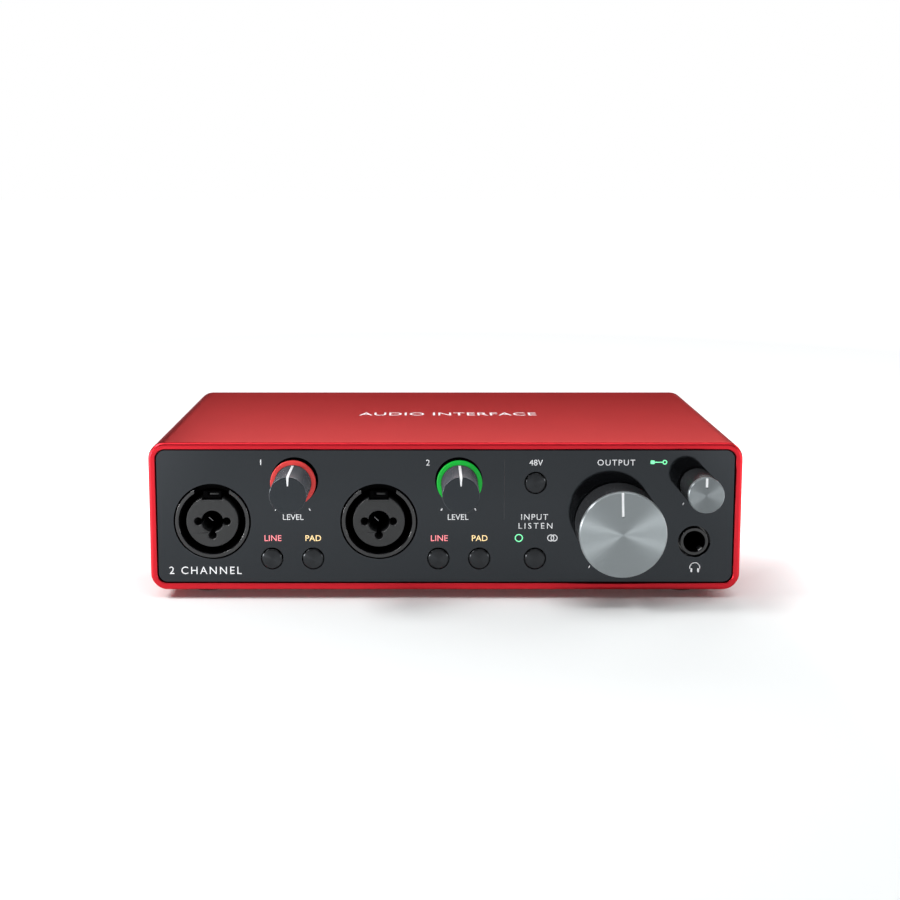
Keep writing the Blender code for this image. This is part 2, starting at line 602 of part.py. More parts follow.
ANODISED = material("red_anodised", (0.48, 0.03, 0.05), 0.38, 0.6)
GLOSS_BLACK = material("gloss_black", (0.02, 0.021, 0.024), 0.15)
MATTE_BLACK = material("matte_black", (0.012, 0.012, 0.013), 0.5)
DARK_PLASTIC = material("dark_plastic", (0.045, 0.047, 0.052), 0.4)
GREY_PLASTIC = material("grey_plastic", (0.05, 0.052, 0.055), 0.5)
DARK_METAL = material("dark_metal", (0.08, 0.08, 0.085), 0.35, 0.8)
ALUMINIUM = material("turned_aluminium", (0.62, 0.63, 0.65), 0.3, 1.0)
STEEL = material("steel", (0.45, 0.45, 0.46), 0.35, 1.0)
RUBBER = material("rubber", (0.015, 0.015, 0.015), 0.85)
WHITE = material("white_inlay", (0.85, 0.85, 0.85), 0.4)
BOARD_GREEN = material("board", (0.02, 0.12, 0.05), 0.5)
LIT = {1: material("halo_red", (0.9, 0.08, 0.08), 0.4), 2: material("halo_green", (0.02, 0.8, 0.1), 0.4)}

BUTTONS = {"phantom": (SWITCH_COLUMN_X, PHANTOM_Z), "direct": (SWITCH_COLUMN_X, BUTTON_Z)}
for channel in (1, 2):
    BUTTONS[f"inst_{channel}"] = (INST_X[channel - 1], BUTTON_Z)
    BUTTONS[f"pad_{channel}"] = (PAD_X[channel - 1], BUTTON_Z)

build_sleeve()
build_front_panel()
build_rear_panel()
build_tray()
build_feet()
build_rear_screws()
build_boards()
for channel in (1, 2):
    build_combo(channel, COMBO_X[channel - 1])
    build_gain(channel, GAIN_X[channel - 1])
build_capped_knob("monitor", MONITOR_X, MONITOR_Z, MONITOR_R, MONITOR_REACH, 48)
build_capped_knob("phones", PHONES_X, PHONES_Z, PHONES_R, PHONES_REACH, 28)
for button_name, (button_x, button_z) in BUTTONS.items():
    build_button(button_name, button_x, button_z)
build_phones_jack()
build_line_outs()
build_usb()
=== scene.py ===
import math

import bmesh
import bpy
from mathutils import Matrix, Vector


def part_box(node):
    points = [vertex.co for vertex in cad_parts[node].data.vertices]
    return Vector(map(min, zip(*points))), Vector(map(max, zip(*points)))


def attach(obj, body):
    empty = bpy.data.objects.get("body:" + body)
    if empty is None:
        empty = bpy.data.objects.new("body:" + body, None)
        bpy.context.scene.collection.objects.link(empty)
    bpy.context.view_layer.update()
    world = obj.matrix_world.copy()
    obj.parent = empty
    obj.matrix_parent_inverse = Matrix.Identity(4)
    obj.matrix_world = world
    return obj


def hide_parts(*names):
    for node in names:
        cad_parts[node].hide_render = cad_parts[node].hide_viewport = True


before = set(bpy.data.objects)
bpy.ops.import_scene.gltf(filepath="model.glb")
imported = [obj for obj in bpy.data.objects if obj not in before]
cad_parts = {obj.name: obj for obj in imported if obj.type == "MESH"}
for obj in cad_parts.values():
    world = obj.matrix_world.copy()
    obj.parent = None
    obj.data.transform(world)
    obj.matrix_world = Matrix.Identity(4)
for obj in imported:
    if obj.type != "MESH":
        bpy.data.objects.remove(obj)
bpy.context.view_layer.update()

MM = 0.001
CASE = "case"
ORIGIN = Vector((0, 0, 0))

# ---- sizes that the frame's boxes don't give ----
WALL = 2.05 * MM
CORNER_RADIUS = 5.0 * MM
PANEL_CORNER_RADIUS = 2.65 * MM
PANEL_EDGE = 0.12 * MM
BEHIND_PANEL = -2.3 * MM                    # flanges start here, forward of the face
COMBO_HOLE_R = 11.4 * MM
COMBO_FLANGE_R = 10.95 * MM
COMBO_BORE_R = 9.7 * MM
CORE_R = 7.7 * MM
JACK_BORE_R = 3.25 * MM
PIN_HOLE_R = 1.2 * MM
PIN_CIRCLE_R = 4.2 * MM
KEY_FLAT_Z = 6.5 * MM
KEY_NOTCH_HALF = 5.2 * MM
COLLAR_BORE_R = 5.55 * MM
HALO_BORE_R = 5.38 * MM
COLLAR_HOLE_R = 6.85 * MM
# the off-centre collar holes show a crescent of the collar's painted-shade black
COLLAR_HOLE_SHIFT = {1: (0.2 * MM, 0.15 * MM), 2: (-0.15 * MM, 0.15 * MM)}
SHAFT_HOLE_R = 3.9 * MM
SHAFT_BORE_R = 3.2 * MM
BUTTON_R = 2.95 * MM
BUTTON_HOLE_R = 3.27 * MM
PHONES_HOLE_R = 4.75 * MM
PHONES_BARREL_R = 4.1 * MM
PHONES_BORE_R = 3.2 * MM
LINE_OUT_BARREL_R = 5.2 * MM
SCREW_HOLE_R = 1.8 * MM
LOCK_SLOT_X = 68 * MM
POINTER_WIDTH = 0.75 * MM
POINTER_LEAN = math.radians(1.8)            # the large knob's, anticlockwise
KNOB_TRAVEL = math.radians(150)             # each way from upright
# the knob's side is coloured lighter than its face from here on: painted light, not a second colour
# of plastic
KNOB_FACE_EDGE_Y = -16.35 * MM              # a level knob's face colour ends here
KNOB_SIDE_Y = -16.2 * MM                    # and its side's colour starts here
KNURL_PITCH = 0.85 * MM
KNURL_DEPTH = 0.3 * MM
PRINT_THICKNESS = 0.02 * MM
LETTER_HEIGHT = 1.75 * MM
CAMERA_OFFSET = (-6.41 * MM, -341.8 * MM, 122.1 * MM)   # from the sleeve's lower front edge
CAMERA_PITCH = math.radians(6.388)
CAMERA_LENS = 47.52
CAMERA_SHIFT = (0.0293, -0.1556)
ROOM_WALL = 0.1
ROOM_CEILING = 0.45
FLOOR_FADE = (0.17, 0.75, 0.0, 0.85)        # metres from the middle, and the floor's glow there
FLOOR_SIDE, FLOOR_BACK = 0.09, 0.02
FLOOR_BEYOND = (0.0, 0.06, 0.0, 0.66)       # the same, past the object's sides and its back


# ---- places read from the frame ----
def middle(node):
    low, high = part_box(node)
    return (low + high) / 2


def radius_of(node):
    low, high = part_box(node)
    return (high.x - low.x) / 2


SLEEVE_LOW, SLEEVE_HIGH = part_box("case_sleeve")
PANEL_LOW, PANEL_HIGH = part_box("front_panel")
FACE = PANEL_LOW.y
REAR_LOW, REAR_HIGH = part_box("rear_panel")
BUTTONS = [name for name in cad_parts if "_button" in name]


# ---- materials ----
def shader(name, color, roughness, metallic=0.0, **inputs):
    """A Principled material; extra inputs are set on its own sockets."""
    made = bpy.data.materials.new(name)
    made.use_nodes = True
    principled = made.node_tree.nodes["Principled BSDF"]
    principled.inputs["Base Color"].default_value = (*color, 1.0)
    principled.inputs["Roughness"].default_value = roughness
    principled.inputs["Metallic"].default_value = metallic
    for socket, value in inputs.items():
        principled.inputs[socket.replace("_", " ")].default_value = value
    return made


def object_place(look):
    """Each point's place in its piece's own coordinates."""
    return look.node_tree.nodes.new("ShaderNodeTexCoord").outputs["Object"]


def split_xyz(owner, source):
    made = owner.node_tree.nodes.new("ShaderNodeSeparateXYZ")
    owner.node_tree.links.new(source, made.inputs["Vector"])
    return made.outputs


def map_range(owner, source, start, end, low, high, smooth=False):
    """Map a value between start and end to one between low and high."""
    made = owner.node_tree.nodes.new("ShaderNodeMapRange")
    made.interpolation_type = "SMOOTHSTEP" if smooth else "LINEAR"
    for socket, value in zip(("From Min", "From Max", "To Min", "To Max"), (start, end, low, high)):
        made.inputs[socket].default_value = value
    owner.node_tree.links.new(source, made.inputs["Value"])
    return made.outputs["Result"]


def noise(look, scale, detail=4.0, stretch=(1, 1, 1)):
    """A noise texture in object coordinates, in cells per metre."""
    nodes, links = look.node_tree.nodes, look.node_tree.links
    mapping = nodes.new("ShaderNodeMapping")
    mapping.inputs["Scale"].default_value = stretch
    texture = nodes.new("ShaderNodeTexNoise")
    texture.inputs["Scale"].default_value = scale
    texture.inputs["Detail"].default_value = detail
    links.new(object_place(look), mapping.inputs["Vector"])
    links.new(mapping.outputs["Vector"], texture.inputs["Vector"])
    return texture.outputs["Fac"]


def ramp(look, source, low, high):
    """Mix two colours by a 0 to 1 value, or stretch its middle over a range of numbers."""
    if not isinstance(low, tuple):
        return map_range(look, source, 0.3, 0.7, low, high)
    made = look.node_tree.nodes.new("ShaderNodeMix")
    made.data_type = "RGBA"
    made.inputs["A"].default_value = (*low, 1.0)
    made.inputs["B"].default_value = (*high, 1.0)
    look.node_tree.links.new(source, made.inputs["Factor"])
    return made.outputs["Result"]


def feed(look, socket, source):
    principled = look.node_tree.nodes["Principled BSDF"]
    look.node_tree.links.new(source, principled.inputs[socket])


def bump(look, source, height, strength=1.0):
    made = look.node_tree.nodes.new("ShaderNodeBump")
    made.inputs["Strength"].default_value = strength
    made.inputs["Distance"].default_value = height
    look.node_tree.links.new(source, made.inputs["Height"])
    feed(look, "Normal", made.outputs["Normal"])


def moulded(name, color, roughness, grain=2500, depth=0.01 * MM, vary=0.05, **inputs):
    """Moulded plastic: fine grain, slight changes of tone and gloss."""
    look = shader(name, color, roughness, **inputs)
    lighter = tuple(channel * 1.4 for channel in color)
    feed(look, "Base Color", ramp(look, noise(look, 180), color, lighter))
    fine = noise(look, grain, 6.0)
    feed(look, "Roughness", ramp(look, fine, roughness - vary, roughness + vary))
    bump(look, fine, depth)
    return look


def anodised():
    """Bead-blasted, dyed aluminium with a fine sparkle."""
    look = shader("anodised_red", (0.6, 0.01, 0.02), 0.34, 1.0,
                  Specular_Tint=(0.7, 0.03, 0.04, 1.0), Coat_Weight=0.4, Coat_Roughness=0.36)
    tone = noise(look, 60, 3.0)
    feed(look, "Base Color", ramp(look, tone, (0.58, 0.005, 0.016), (0.63, 0.008, 0.021)))
    blast = noise(look, 5200, 3.0)
    feed(look, "Roughness", ramp(look, blast, 0.31, 0.38))
    bump(look, blast, 0.004 * MM)
    return look


def knob_with_painted_lit_side():
    """Satin knob: a dark face, and behind the face's edge a side painted lighter, as painted light
    from the upper left.
    """
    look = moulded("knob_grey", (0.007, 0.0082, 0.0105), 0.24, 1500, 0.0001 * MM, 0.01, IOR=1.46,
                   Specular_Tint=(0.85, 0.93, 1.0, 1.0), Sheen_Weight=0.1, Sheen_Roughness=0.4)
    along = split_xyz(look, object_place(look))["Y"]
    behind = map_range(look, along, KNOB_FACE_EDGE_Y, KNOB_SIDE_Y, 0.0, 1.0)
    # painted light: the side's lighter base colour stands in for light falling on it from the upper
    # left
    feed(look, "Base Color", ramp(look, behind, (0.008, 0.0094, 0.0118), (0.058, 0.063, 0.074)))
    return look


def glossy_panel():
    """Near-black polished fascia: its grey comes from what it mirrors."""
    look = shader("fascia_gloss", (0.002, 0.002, 0.003), 0.07,
                  IOR=1.53, Specular_Tint=(0.84, 0.91, 1.0, 1.0))
    ripple = noise(look, 120, 2.0)
    dark, light = (0.0016, 0.0017, 0.002), (0.0026, 0.0028, 0.0032)
    feed(look, "Base Color", ramp(look, ripple, dark, light))
    feed(look, "Roughness", ramp(look, noise(look, 900, 3.0), 0.06, 0.09))
    bump(look, ripple, 0.0015 * MM)
    return look


def lathe_marks(look, per_metre):
    """Concentric rings about each cap's own Y axis."""
    texture = look.node_tree.nodes.new("ShaderNodeTexWave")
    texture.wave_type = "RINGS"
    texture.rings_direction = "Y"
    texture.inputs["Scale"].default_value = per_metre
    texture.inputs["Distortion"].default_value = 0.6
    texture.inputs["Detail"].default_value = 3.0
    look.node_tree.links.new(object_place(look), texture.inputs["Vector"])
    return texture.outputs["Fac"]


def turned_metal(name, color, roughness, anisotropy, per_metre):
    """Metal faced on a lathe: ring marks and a highlight that fans out."""
    look = shader(name, color, roughness, 1.0,
                  Anisotropic=anisotropy, Anisotropic_Rotation=0.25)
    tangent = look.node_tree.nodes.new("ShaderNodeTangent")
    tangent.direction_type = "RADIAL"
    tangent.axis = "Y"
    feed(look, "Tangent", tangent.outputs["Tangent"])
    marks = lathe_marks(look, per_metre)
    darker = tuple(channel * 0.9 for channel in color)
    feed(look, "Base Color", ramp(look, marks, darker, color))
    feed(look, "Roughness", ramp(look, marks, roughness - 0.02, roughness + 0.02))
    bump(look, marks, 0.0003 * MM, 0.3)
    return look


def glowing(name, color, strength):
    """A translucent light ring, lit from behind a little unevenly."""
    look = shader(name, color, 0.35, Specular_IOR_Level=0.3, Emission_Strength=strength)
    shade = tuple(channel * 0.82 for channel in color)
    uneven = ramp(look, noise(look, 260, 2.0), shade, color)
    feed(look, "Base Color", uneven)
    feed(look, "Emission Color", uneven)
    return look


def printed(name, color, glow=0.0):
    """Screen-printed ink with a slightly uneven surface, or a lit legend."""
    look = shader(name, color, 0.45, Emission_Strength=glow)
    faded = tuple(channel * 0.9 for channel in color)
    tone = ramp(look, noise(look, 1500, 3.0), faded, color)
    feed(look, "Base Color", tone)
    if glow:
        feed(look, "Emission Color", tone)
    return look


def brushed_steel():
    """Plain steel with a fine grain, drawn out along X and Z."""
    look = shader("steel_parts", (0.45, 0.45, 0.46), 0.35, 1.0)
    grain = noise(look, 900, 5.0, (1, 12, 1))
    feed(look, "Base Color", ramp(look, grain, (0.36, 0.36, 0.37), (0.52, 0.52, 0.53)))
    feed(look, "Roughness", ramp(look, grain, 0.28, 0.45))
    bump(look, grain, 0.004 * MM)
    return look


def circuit_board():
    """Green solder mask over faint copper routing."""
    look = shader("solder_mask", (0.02, 0.12, 0.05), 0.35)
    routes = look.node_tree.nodes.new("ShaderNodeTexBrick")
    routes.inputs["Scale"].default_value = 220
    routes.inputs["Mortar Size"].default_value = 0.06
    routes.inputs["Color1"].default_value = (0.015, 0.10, 0.04, 1)
    routes.inputs["Color2"].default_value = (0.02, 0.13, 0.05, 1)
    routes.inputs["Mortar"].default_value = (0.05, 0.22, 0.09, 1)
    look.node_tree.links.new(object_place(look), routes.inputs["Vector"])
    feed(look, "Base Color", routes.outputs["Color"])
    return look


LOOKS = {
    "sleeve": anodised(),
    "fascia": glossy_panel(),
    "black": moulded("black_moulding", (0.008, 0.008, 0.009), 0.42),
    # painted shade: a black darker than any plastic and nearly without gloss, for the recesses
    # where shade falls
    "recess_shade": moulded("painted_shade_black", (0.0006, 0.0006, 0.0008), 0.6, Specular_IOR_Level=0.02),
    "gloss": moulded("black_polished", (0.004, 0.004, 0.005), 0.14, 1200, 0.0005 * MM, IOR=1.6),
    "knurl": moulded("knurled_black", (0.018, 0.019, 0.0205), 0.22, 3500, 0.0005 * MM),
    "core": moulded("socket_core", (0.010, 0.0105, 0.0113), 0.42, 2200),
    "knob": knob_with_painted_lit_side(),
    "cap": turned_metal("cap_aluminium", (0.335, 0.365, 0.378), 0.42, 0.86, 900),
    "small_cap": turned_metal("small_cap_aluminium", (0.222, 0.243, 0.253), 0.40, 0.8, 1200),
    "button": turned_metal("button_metal", (0.040, 0.042, 0.045), 0.30, 0.8, 1200),
    "red_ring": glowing("ring_red", (0.54, 0.038, 0.036), 0.32),
    "green_ring": glowing("ring_green", (0.002, 0.36, 0.03), 0.32),
    "white": printed("ink_white", (0.82, 0.83, 0.85)),
    "grey": printed("ink_grey", (0.022, 0.024, 0.027)),
    "red": printed("legend_red", (0.85, 0.22, 0.25), 0.7),
    "amber": printed("legend_amber", (0.85, 0.62, 0.30), 0.7),
    "green": printed("legend_green", (0.18, 0.80, 0.38), 0.75),
    "steel": brushed_steel(),
    "nickel": moulded("contact_nickel", (0.16, 0.16, 0.165), 0.3, Metallic=1.0),
    "board": circuit_board(),
    "rubber": moulded("foot_rubber", (0.012, 0.012, 0.012), 0.8, 1500, 0.02 * MM),
}


# ---- mesh helpers ----
def add_object(name, data):
    made = bpy.data.objects.new(name, data)
    bpy.context.scene.collection.objects.link(made)
    return made


def piece(name, mesh, look, body=CASE, replaces=(), origin=None):
    """Add a finished mesh as a piece of the object that rides on a body."""
    mesh.name = name
    made = add_object(name, mesh)
    if origin is not None:
        mesh.transform(Matrix.Translation(-Vector(origin)))
        made.location = origin
    mesh.materials.clear()
    mesh.materials.append(LOOKS[look])
    made.modifiers.new("flat_faces", "WEIGHTED_NORMAL").keep_sharp = True
    bpy.context.view_layer.update()
    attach(made, body)
    if replaces:
        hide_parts(*replaces)
    return made


def to_mesh(bm, sharp=32):
    """A smooth mesh whose edges are sharp above that angle, in degrees."""
    mesh = bpy.data.meshes.new("mesh")
    bm.to_mesh(mesh)
    bm.free()
    mesh.shade_smooth()
    mesh.set_sharp_from_angle(angle=math.radians(sharp))
    return mesh


def rounded(points, radii, steps=5):
    """Round the corners of an open outline; a radius of 0 keeps one sharp."""
    made = []
    for index, (point, radius) in enumerate(zip(points, radii)):
        here = Vector(point)
        if radius == 0 or index in (0, len(points) - 1):
            made.append(tuple(here))
            continue
        back = Vector(points[index - 1]) - here
        ahead = Vector(points[index + 1]) - here
        turn = back.angle(ahead)
        reach = radius / math.tan(turn / 2)
        start = here + back.normalized() * reach
        end = here + ahead.normalized() * reach
        inward = (back.normalized() + ahead.normalized()).normalized()
        centre = here + inward * (radius / math.sin(turn / 2))
        first, last = start - centre, end - centre
        swing = first.angle_signed(last)
        for step in range(steps + 1):
            arm = first.copy()
            arm.rotate(Matrix.Rotation(-swing * step / steps, 2))
            made.append(tuple(centre + arm))
    return made


def lathe(profile, centre, sides=96, closed=False, sharp=32):
    """Turn (radius, forward[, knurl depth]) points about the -Y axis through centre."""
    bm = bmesh.new()
    loops = []
    for row, point in enumerate(profile):
        radius, forward = point[0], point[1]
        knurl = point[2] if len(point) > 2 else 0
        if radius < 1e-9:
            loops.append([bm.verts.new((centre.x, centre.y - forward, centre.z))])
            continue
        ring = []
        for side in range(sides):
            angle = 2 * math.pi * side / sides
            reach = radius - (knurl if (side + row) % 2 else 0)
            ring.append(bm.verts.new((centre.x + reach * math.sin(angle), centre.y - forward,
                                      centre.z + reach * math.cos(angle))))
        loops.append(ring)
    pairs = list(zip(loops, loops[1:])) + ([(loops[-1], loops[0])] if closed else [])
    for first, second in pairs:
        for side in range(sides):
            after = (side + 1) % sides
            corners = [first[side % len(first)], first[after % len(first)],
                       second[after % len(second)], second[side % len(second)]]
            corners = list(dict.fromkeys(corners))
            if len(corners) > 2:
                bm.faces.new(corners)
    bmesh.ops.recalc_face_normals(bm, faces=bm.faces)
    return to_mesh(bm, sharp)


def cut(mesh, tool_bm, sharp=32):
    """Take the tool's shape out of a mesh and return the result."""
    tool_mesh = bpy.data.meshes.new("tool")
    tool_bm.to_mesh(tool_mesh)
    tool_bm.free()
    target, tool = add_object("target", mesh), add_object("tool", tool_mesh)
    modifier = target.modifiers.new("cut", "BOOLEAN")
    modifier.object = tool
    modifier.operation = "DIFFERENCE"
    modifier.solver = "EXACT"
    graph = bpy.context.evaluated_depsgraph_get()
    result = bpy.data.meshes.new_from_object(target.evaluated_get(graph))
    bpy.data.objects.remove(target)
    bpy.data.objects.remove(tool)
    result.shade_smooth()
    result.set_sharp_from_angle(angle=math.radians(sharp))
    return result


def block_bm(low, high, edge=0.0):
    """A box between two corners, with rounded edges."""
    low, high = Vector(low), Vector(high)
    bm = bmesh.new()
    bmesh.ops.create_cube(bm, size=1, matrix=Matrix.Translation((low + high) / 2)
                          @ Matrix.Diagonal((*(high - low), 1)))
    if edge:
        bmesh.ops.bevel(bm, geom=bm.edges[:], offset=edge, segments=3, profile=0.5,
                        affect="EDGES")
    return bm


def contact(size, edge, place, turn):
    """A small spring contact inside a socket, turned by some degrees about -Y."""
    width, length, height = size
    bm = block_bm((-width / 2, 0, -height / 2), (width / 2, length, height / 2), edge)
    bmesh.ops.transform(bm, matrix=Matrix.Translation(place)
                        @ Matrix.Rotation(math.radians(turn), 4, "Y"), verts=bm.verts)
    return to_mesh(bm)


def facing_back(mesh, node):
    """Move a mesh turned about the origin to the rear face of a node."""
    place = middle(node)
    place.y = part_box(node)[1].y
    mesh.transform(Matrix.Translation(place) @ Matrix.Rotation(math.pi, 4, "Z"))
    return place


def loft(loops):
    """Skin closed loops of points into one closed ring-shaped surface."""
    bm = bmesh.new()
    rows = [[bm.verts.new(point) for point in loop] for loop in loops]
    count = len(rows[0])
    for first, second in zip(rows, rows[1:] + rows[:1]):
        for index in range(count):
            after = (index + 1) % count
            bm.faces.new((first[index], first[after], second[after], second[index]))
    bmesh.ops.recalc_face_normals(bm, faces=bm.faces)
    return to_mesh(bm)


# ---- flat outlines, in the panel's own X and Z ----
def polar(x, z, radius, angle):
    """A point on a circle; the angle is anticlockwise from +X."""
    return x + radius * math.cos(angle), z + radius * math.sin(angle)


def circle(x, z, radius, count=96):
    return [polar(x, z, radius, 2 * math.pi * i / count) for i in range(count)]


def rounded_rectangle(x, z, half_width, half_height, radius, steps=10, support=0.0):
    """Corners as arcs; support adds a point on each side of every arc."""
    made = []
    for turn, (side_x, side_z) in enumerate(((1, 1), (-1, 1), (-1, -1), (1, -1))):
        middle_x = x + side_x * (half_width - radius)
        middle_z = z + side_z * (half_height - radius)
        arc = [polar(middle_x, middle_z, radius, math.pi / 2 * (turn + step / steps))
               for step in range(steps + 1)]
        if support:
            first, last = math.pi / 2 * turn, math.pi / 2 * (turn + 1)
            arc.insert(0, (arc[0][0] + support * math.sin(first),
                           arc[0][1] - support * math.cos(first)))
            arc.append((arc[-1][0] - support * math.sin(last),
                        arc[-1][1] + support * math.cos(last)))
        made += arc
    return made


def bar(x, z, length, width, angle):
    """A straight stroke; angle turns it clockwise from upright."""
    along = Vector((math.sin(angle), math.cos(angle))) * length / 2
    across = Vector((math.cos(angle), -math.sin(angle))) * width / 2
    centre = Vector((x, z))
    corners = (centre - along - across, centre - along + across,
               centre + along + across, centre + along - across)
    return [tuple(corner) for corner in corners]


def arc_band(x, z, radius, width, start, end, steps=24):
    """Part of a ring, with angles clockwise from upright."""
    angles = [start + (end - start) * step / steps for step in range(steps + 1)]
    outer, inner = ([(x + reach * math.sin(a), z + reach * math.cos(a)) for a in angles]
                    for reach in (radius + width / 2, radius - width / 2))
    return outer + inner[::-1]


def socket_outline(x, z):
    """The jack hole joined with its three pin holes."""
    spread = math.acos((JACK_BORE_R ** 2 + PIN_CIRCLE_R ** 2 - PIN_HOLE_R ** 2)
                       / (2 * JACK_BORE_R * PIN_CIRCLE_R))
    open_angle = math.atan2(JACK_BORE_R * math.sin(spread),
                            JACK_BORE_R * math.cos(spread) - PIN_CIRCLE_R)
    pins = [0, math.pi, 3 * math.pi / 2, 2 * math.pi]
    made = []
    for pin, following in zip(pins, pins[1:]):
        centre = polar(x, z, PIN_CIRCLE_R, pin)
        for step in range(21):
            angle = pin - open_angle + 2 * open_angle * step / 20
            made.append(polar(*centre, PIN_HOLE_R, angle))
        steps = round((following - pin) / math.radians(6))
        for step in range(1, steps):
            angle = pin + spread + (following - pin - 2 * spread) * step / steps
            made.append(polar(x, z, JACK_BORE_R, angle))
    return made


def plate(outlines, front, thickness, edge=0.0):
    """A flat piece facing -Y; outlines inside others are holes."""
    curve = bpy.data.curves.new("outlines", "CURVE")
    curve.dimensions = "2D"
    curve.fill_mode = "BOTH"
    curve.extrude = thickness / 2 - edge
    curve.bevel_depth = edge
    curve.bevel_resolution = 2 if edge else 0
    curve.offset = -edge
    for outline in outlines:
        spline = curve.splines.new("POLY")
        spline.points.add(len(outline) - 1)
        for point, (x, z) in zip(spline.points, outline):
            point.co = (x, z, 0, 1)
        spline.use_cyclic_u = True
    return solid_from_curve(curve, front + thickness / 2, 15)


def ink(outlines, thickness=PRINT_THICKNESS):
    """Flat marks printed on the panel."""
    return plate(outlines, FACE - thickness, thickness)


def solid_from_curve(curve, y, sharp=32, fit=None):
    """Turn a flat curve or text into a welded mesh that faces -Y at y."""
    made = add_object("flat", curve)
    bpy.context.view_layer.update()
    graph = bpy.context.evaluated_depsgraph_get()
    mesh = bpy.data.meshes.new_from_object(made.evaluated_get(graph))
    bpy.data.objects.remove(made)
    bm = bmesh.new()
    bm.from_mesh(mesh)
    bpy.data.meshes.remove(mesh)
    bmesh.ops.remove_doubles(bm, verts=bm.verts, dist=1e-7)
    if fit:
        fit(bm)
    upright = Matrix.Translation((0, y, 0)) @ Matrix.Rotation(math.pi / 2, 4, "X")
    bmesh.ops.transform(bm, matrix=upright, verts=bm.verts)
    bmesh.ops.recalc_face_normals(bm, faces=bm.faces)
    return to_mesh(bm, sharp)


def text_curve(words, spacing):
    curve = bpy.data.curves.new(words, "FONT")
    curve.body = words
    curve.space_character = spacing
    curve.extrude = PRINT_THICKNESS / 2
    curve.resolution_u = 4
    return curve


def text_size(words, spacing):
    made = add_object(words, text_curve(words, spacing))
    bpy.context.view_layer.update()
    size = made.dimensions.copy()
    bpy.data.objects.remove(made)
    return size


def lettering(words, x, z, width, height):
    """Words of that height, spaced out to that width and centred on x and z."""
    plain, wide = text_size(words, 1.0), text_size(words, 2.0)
    scale = height / plain.y
    spacing = 1.0
    if len(words) > 1:
        spacing += max(0, (width / scale - plain.x) / (wide.x - plain.x))
    curve = text_curve(words, spacing)

    def fit(bm):
        xs = [vert.co.x for vert in bm.verts]
        ys = [vert.co.y for vert in bm.verts]
        centre = Vector(((max(xs) + min(xs)) / 2, (max(ys) + min(ys)) / 2))
        for vert in bm.verts:
            vert.co.x = x + (vert.co.x - centre.x) * scale
            vert.co.y = z + (vert.co.y - centre.y) * scale

    return solid_from_curve(curve, FACE - PRINT_THICKNESS / 2, fit=fit)


def joined(meshes):
    """Several meshes as one."""
    bm = bmesh.new()
    for mesh in meshes:
        bm.from_mesh(mesh)
        bpy.data.meshes.remove(mesh)
    return to_mesh(bm)


# ---- enclosure ----
def build_sleeve():
    """The extruded sleeve: a rounded outer front edge and a small inner chamfer."""
    outer, inner, support = 0.95 * MM, 0.3 * MM, 0.4 * MM
    front, rear = SLEEVE_LOW.y, SLEEVE_HIGH.y
    top = SLEEVE_HIGH - Vector((0, 0, PRINT_THICKNESS))     # leaves room for the print on it
    centre = (SLEEVE_LOW + top) / 2
    half_width = (top.x - SLEEVE_LOW.x) / 2
    half_height = (top.z - SLEEVE_LOW.z) / 2
    steps = 6
    quarter = [math.pi / 2 * step / steps for step in range(steps + 1)]
    rim = [(0, outer + support)]
    rim += [(outer * (1 - math.cos(a)), outer * (1 - math.sin(a))) for a in quarter]
    rim += [(WALL - inner + inner * math.sin(a), inner * (1 - math.cos(a))) for a in quarter]
    rim += [(WALL, inner + support)]
    section = [(inset, front + depth) for inset, depth in rim]
    section += [(inset, rear - depth) for inset, depth in reversed(rim)]
    loops = []
    for inset, y in section:
        outline = rounded_rectangle(centre.x, centre.z, half_width - inset, half_height - inset,
                                    CORNER_RADIUS - inset, 12, support)
        loops.append([(x, y, z) for x, z in outline])
    piece("sleeve_shell", loft(loops), "sleeve", replaces=["case_sleeve"])


def fascia_outline(low, high):
    return rounded_rectangle((low.x + high.x) / 2, (low.z + high.z) / 2, (high.x - low.x) / 2,
                             (high.z - low.z) / 2, PANEL_CORNER_RADIUS)


def build_front_panel():
    holes = [(f"combo_housing_{n}", COMBO_HOLE_R) for n in (1, 2)]
    holes += [("monitor_knob", SHAFT_HOLE_R), ("phones_knob", SHAFT_HOLE_R)]
    holes += [("phones_jack", PHONES_HOLE_R)] + [(name, BUTTON_HOLE_R) for name in BUTTONS]
    outlines = [fascia_outline(PANEL_LOW, PANEL_HIGH)]
    outlines += [circle(middle(node).x, middle(node).z, radius) for node, radius in holes]
    for number, (aside, up) in COLLAR_HOLE_SHIFT.items():
        place = middle(f"gain_knob_{number}")
        outlines.append(circle(place.x + aside, place.z + up, COLLAR_HOLE_R))
    mesh = plate(outlines, FACE, PANEL_HIGH.y - PANEL_LOW.y, PANEL_EDGE)
    piece("front_fascia", mesh, "fascia", replaces=["front_panel"])


def build_rear_panel():
    outlines = [fascia_outline(REAR_LOW, REAR_HIGH)]
    for side in ("left", "right"):
        place = middle(f"line_out_jack_{side}")
        outlines.append(circle(place.x, place.z, LINE_OUT_BARREL_R + 0.3 * MM))
    for number in range(1, 5):
        place = middle(f"rear_screw_{number}")
        outlines.append(circle(place.x, place.z, SCREW_HOLE_R, 32))
    port = middle("usb_port")
    outlines.append(rounded_rectangle(port.x, port.z, 4.77 * MM, 1.93 * MM, 1.6 * MM))
    outlines.append(rounded_rectangle(LOCK_SLOT_X, (REAR_LOW.z + REAR_HIGH.z) / 2,
                                      3.5 * MM, 1.5 * MM, 0.6 * MM))
    mesh = plate(outlines, REAR_LOW.y, REAR_HIGH.y - REAR_LOW.y, PANEL_EDGE)
    piece("rear_fascia", mesh, "black", replaces=["rear_panel"])


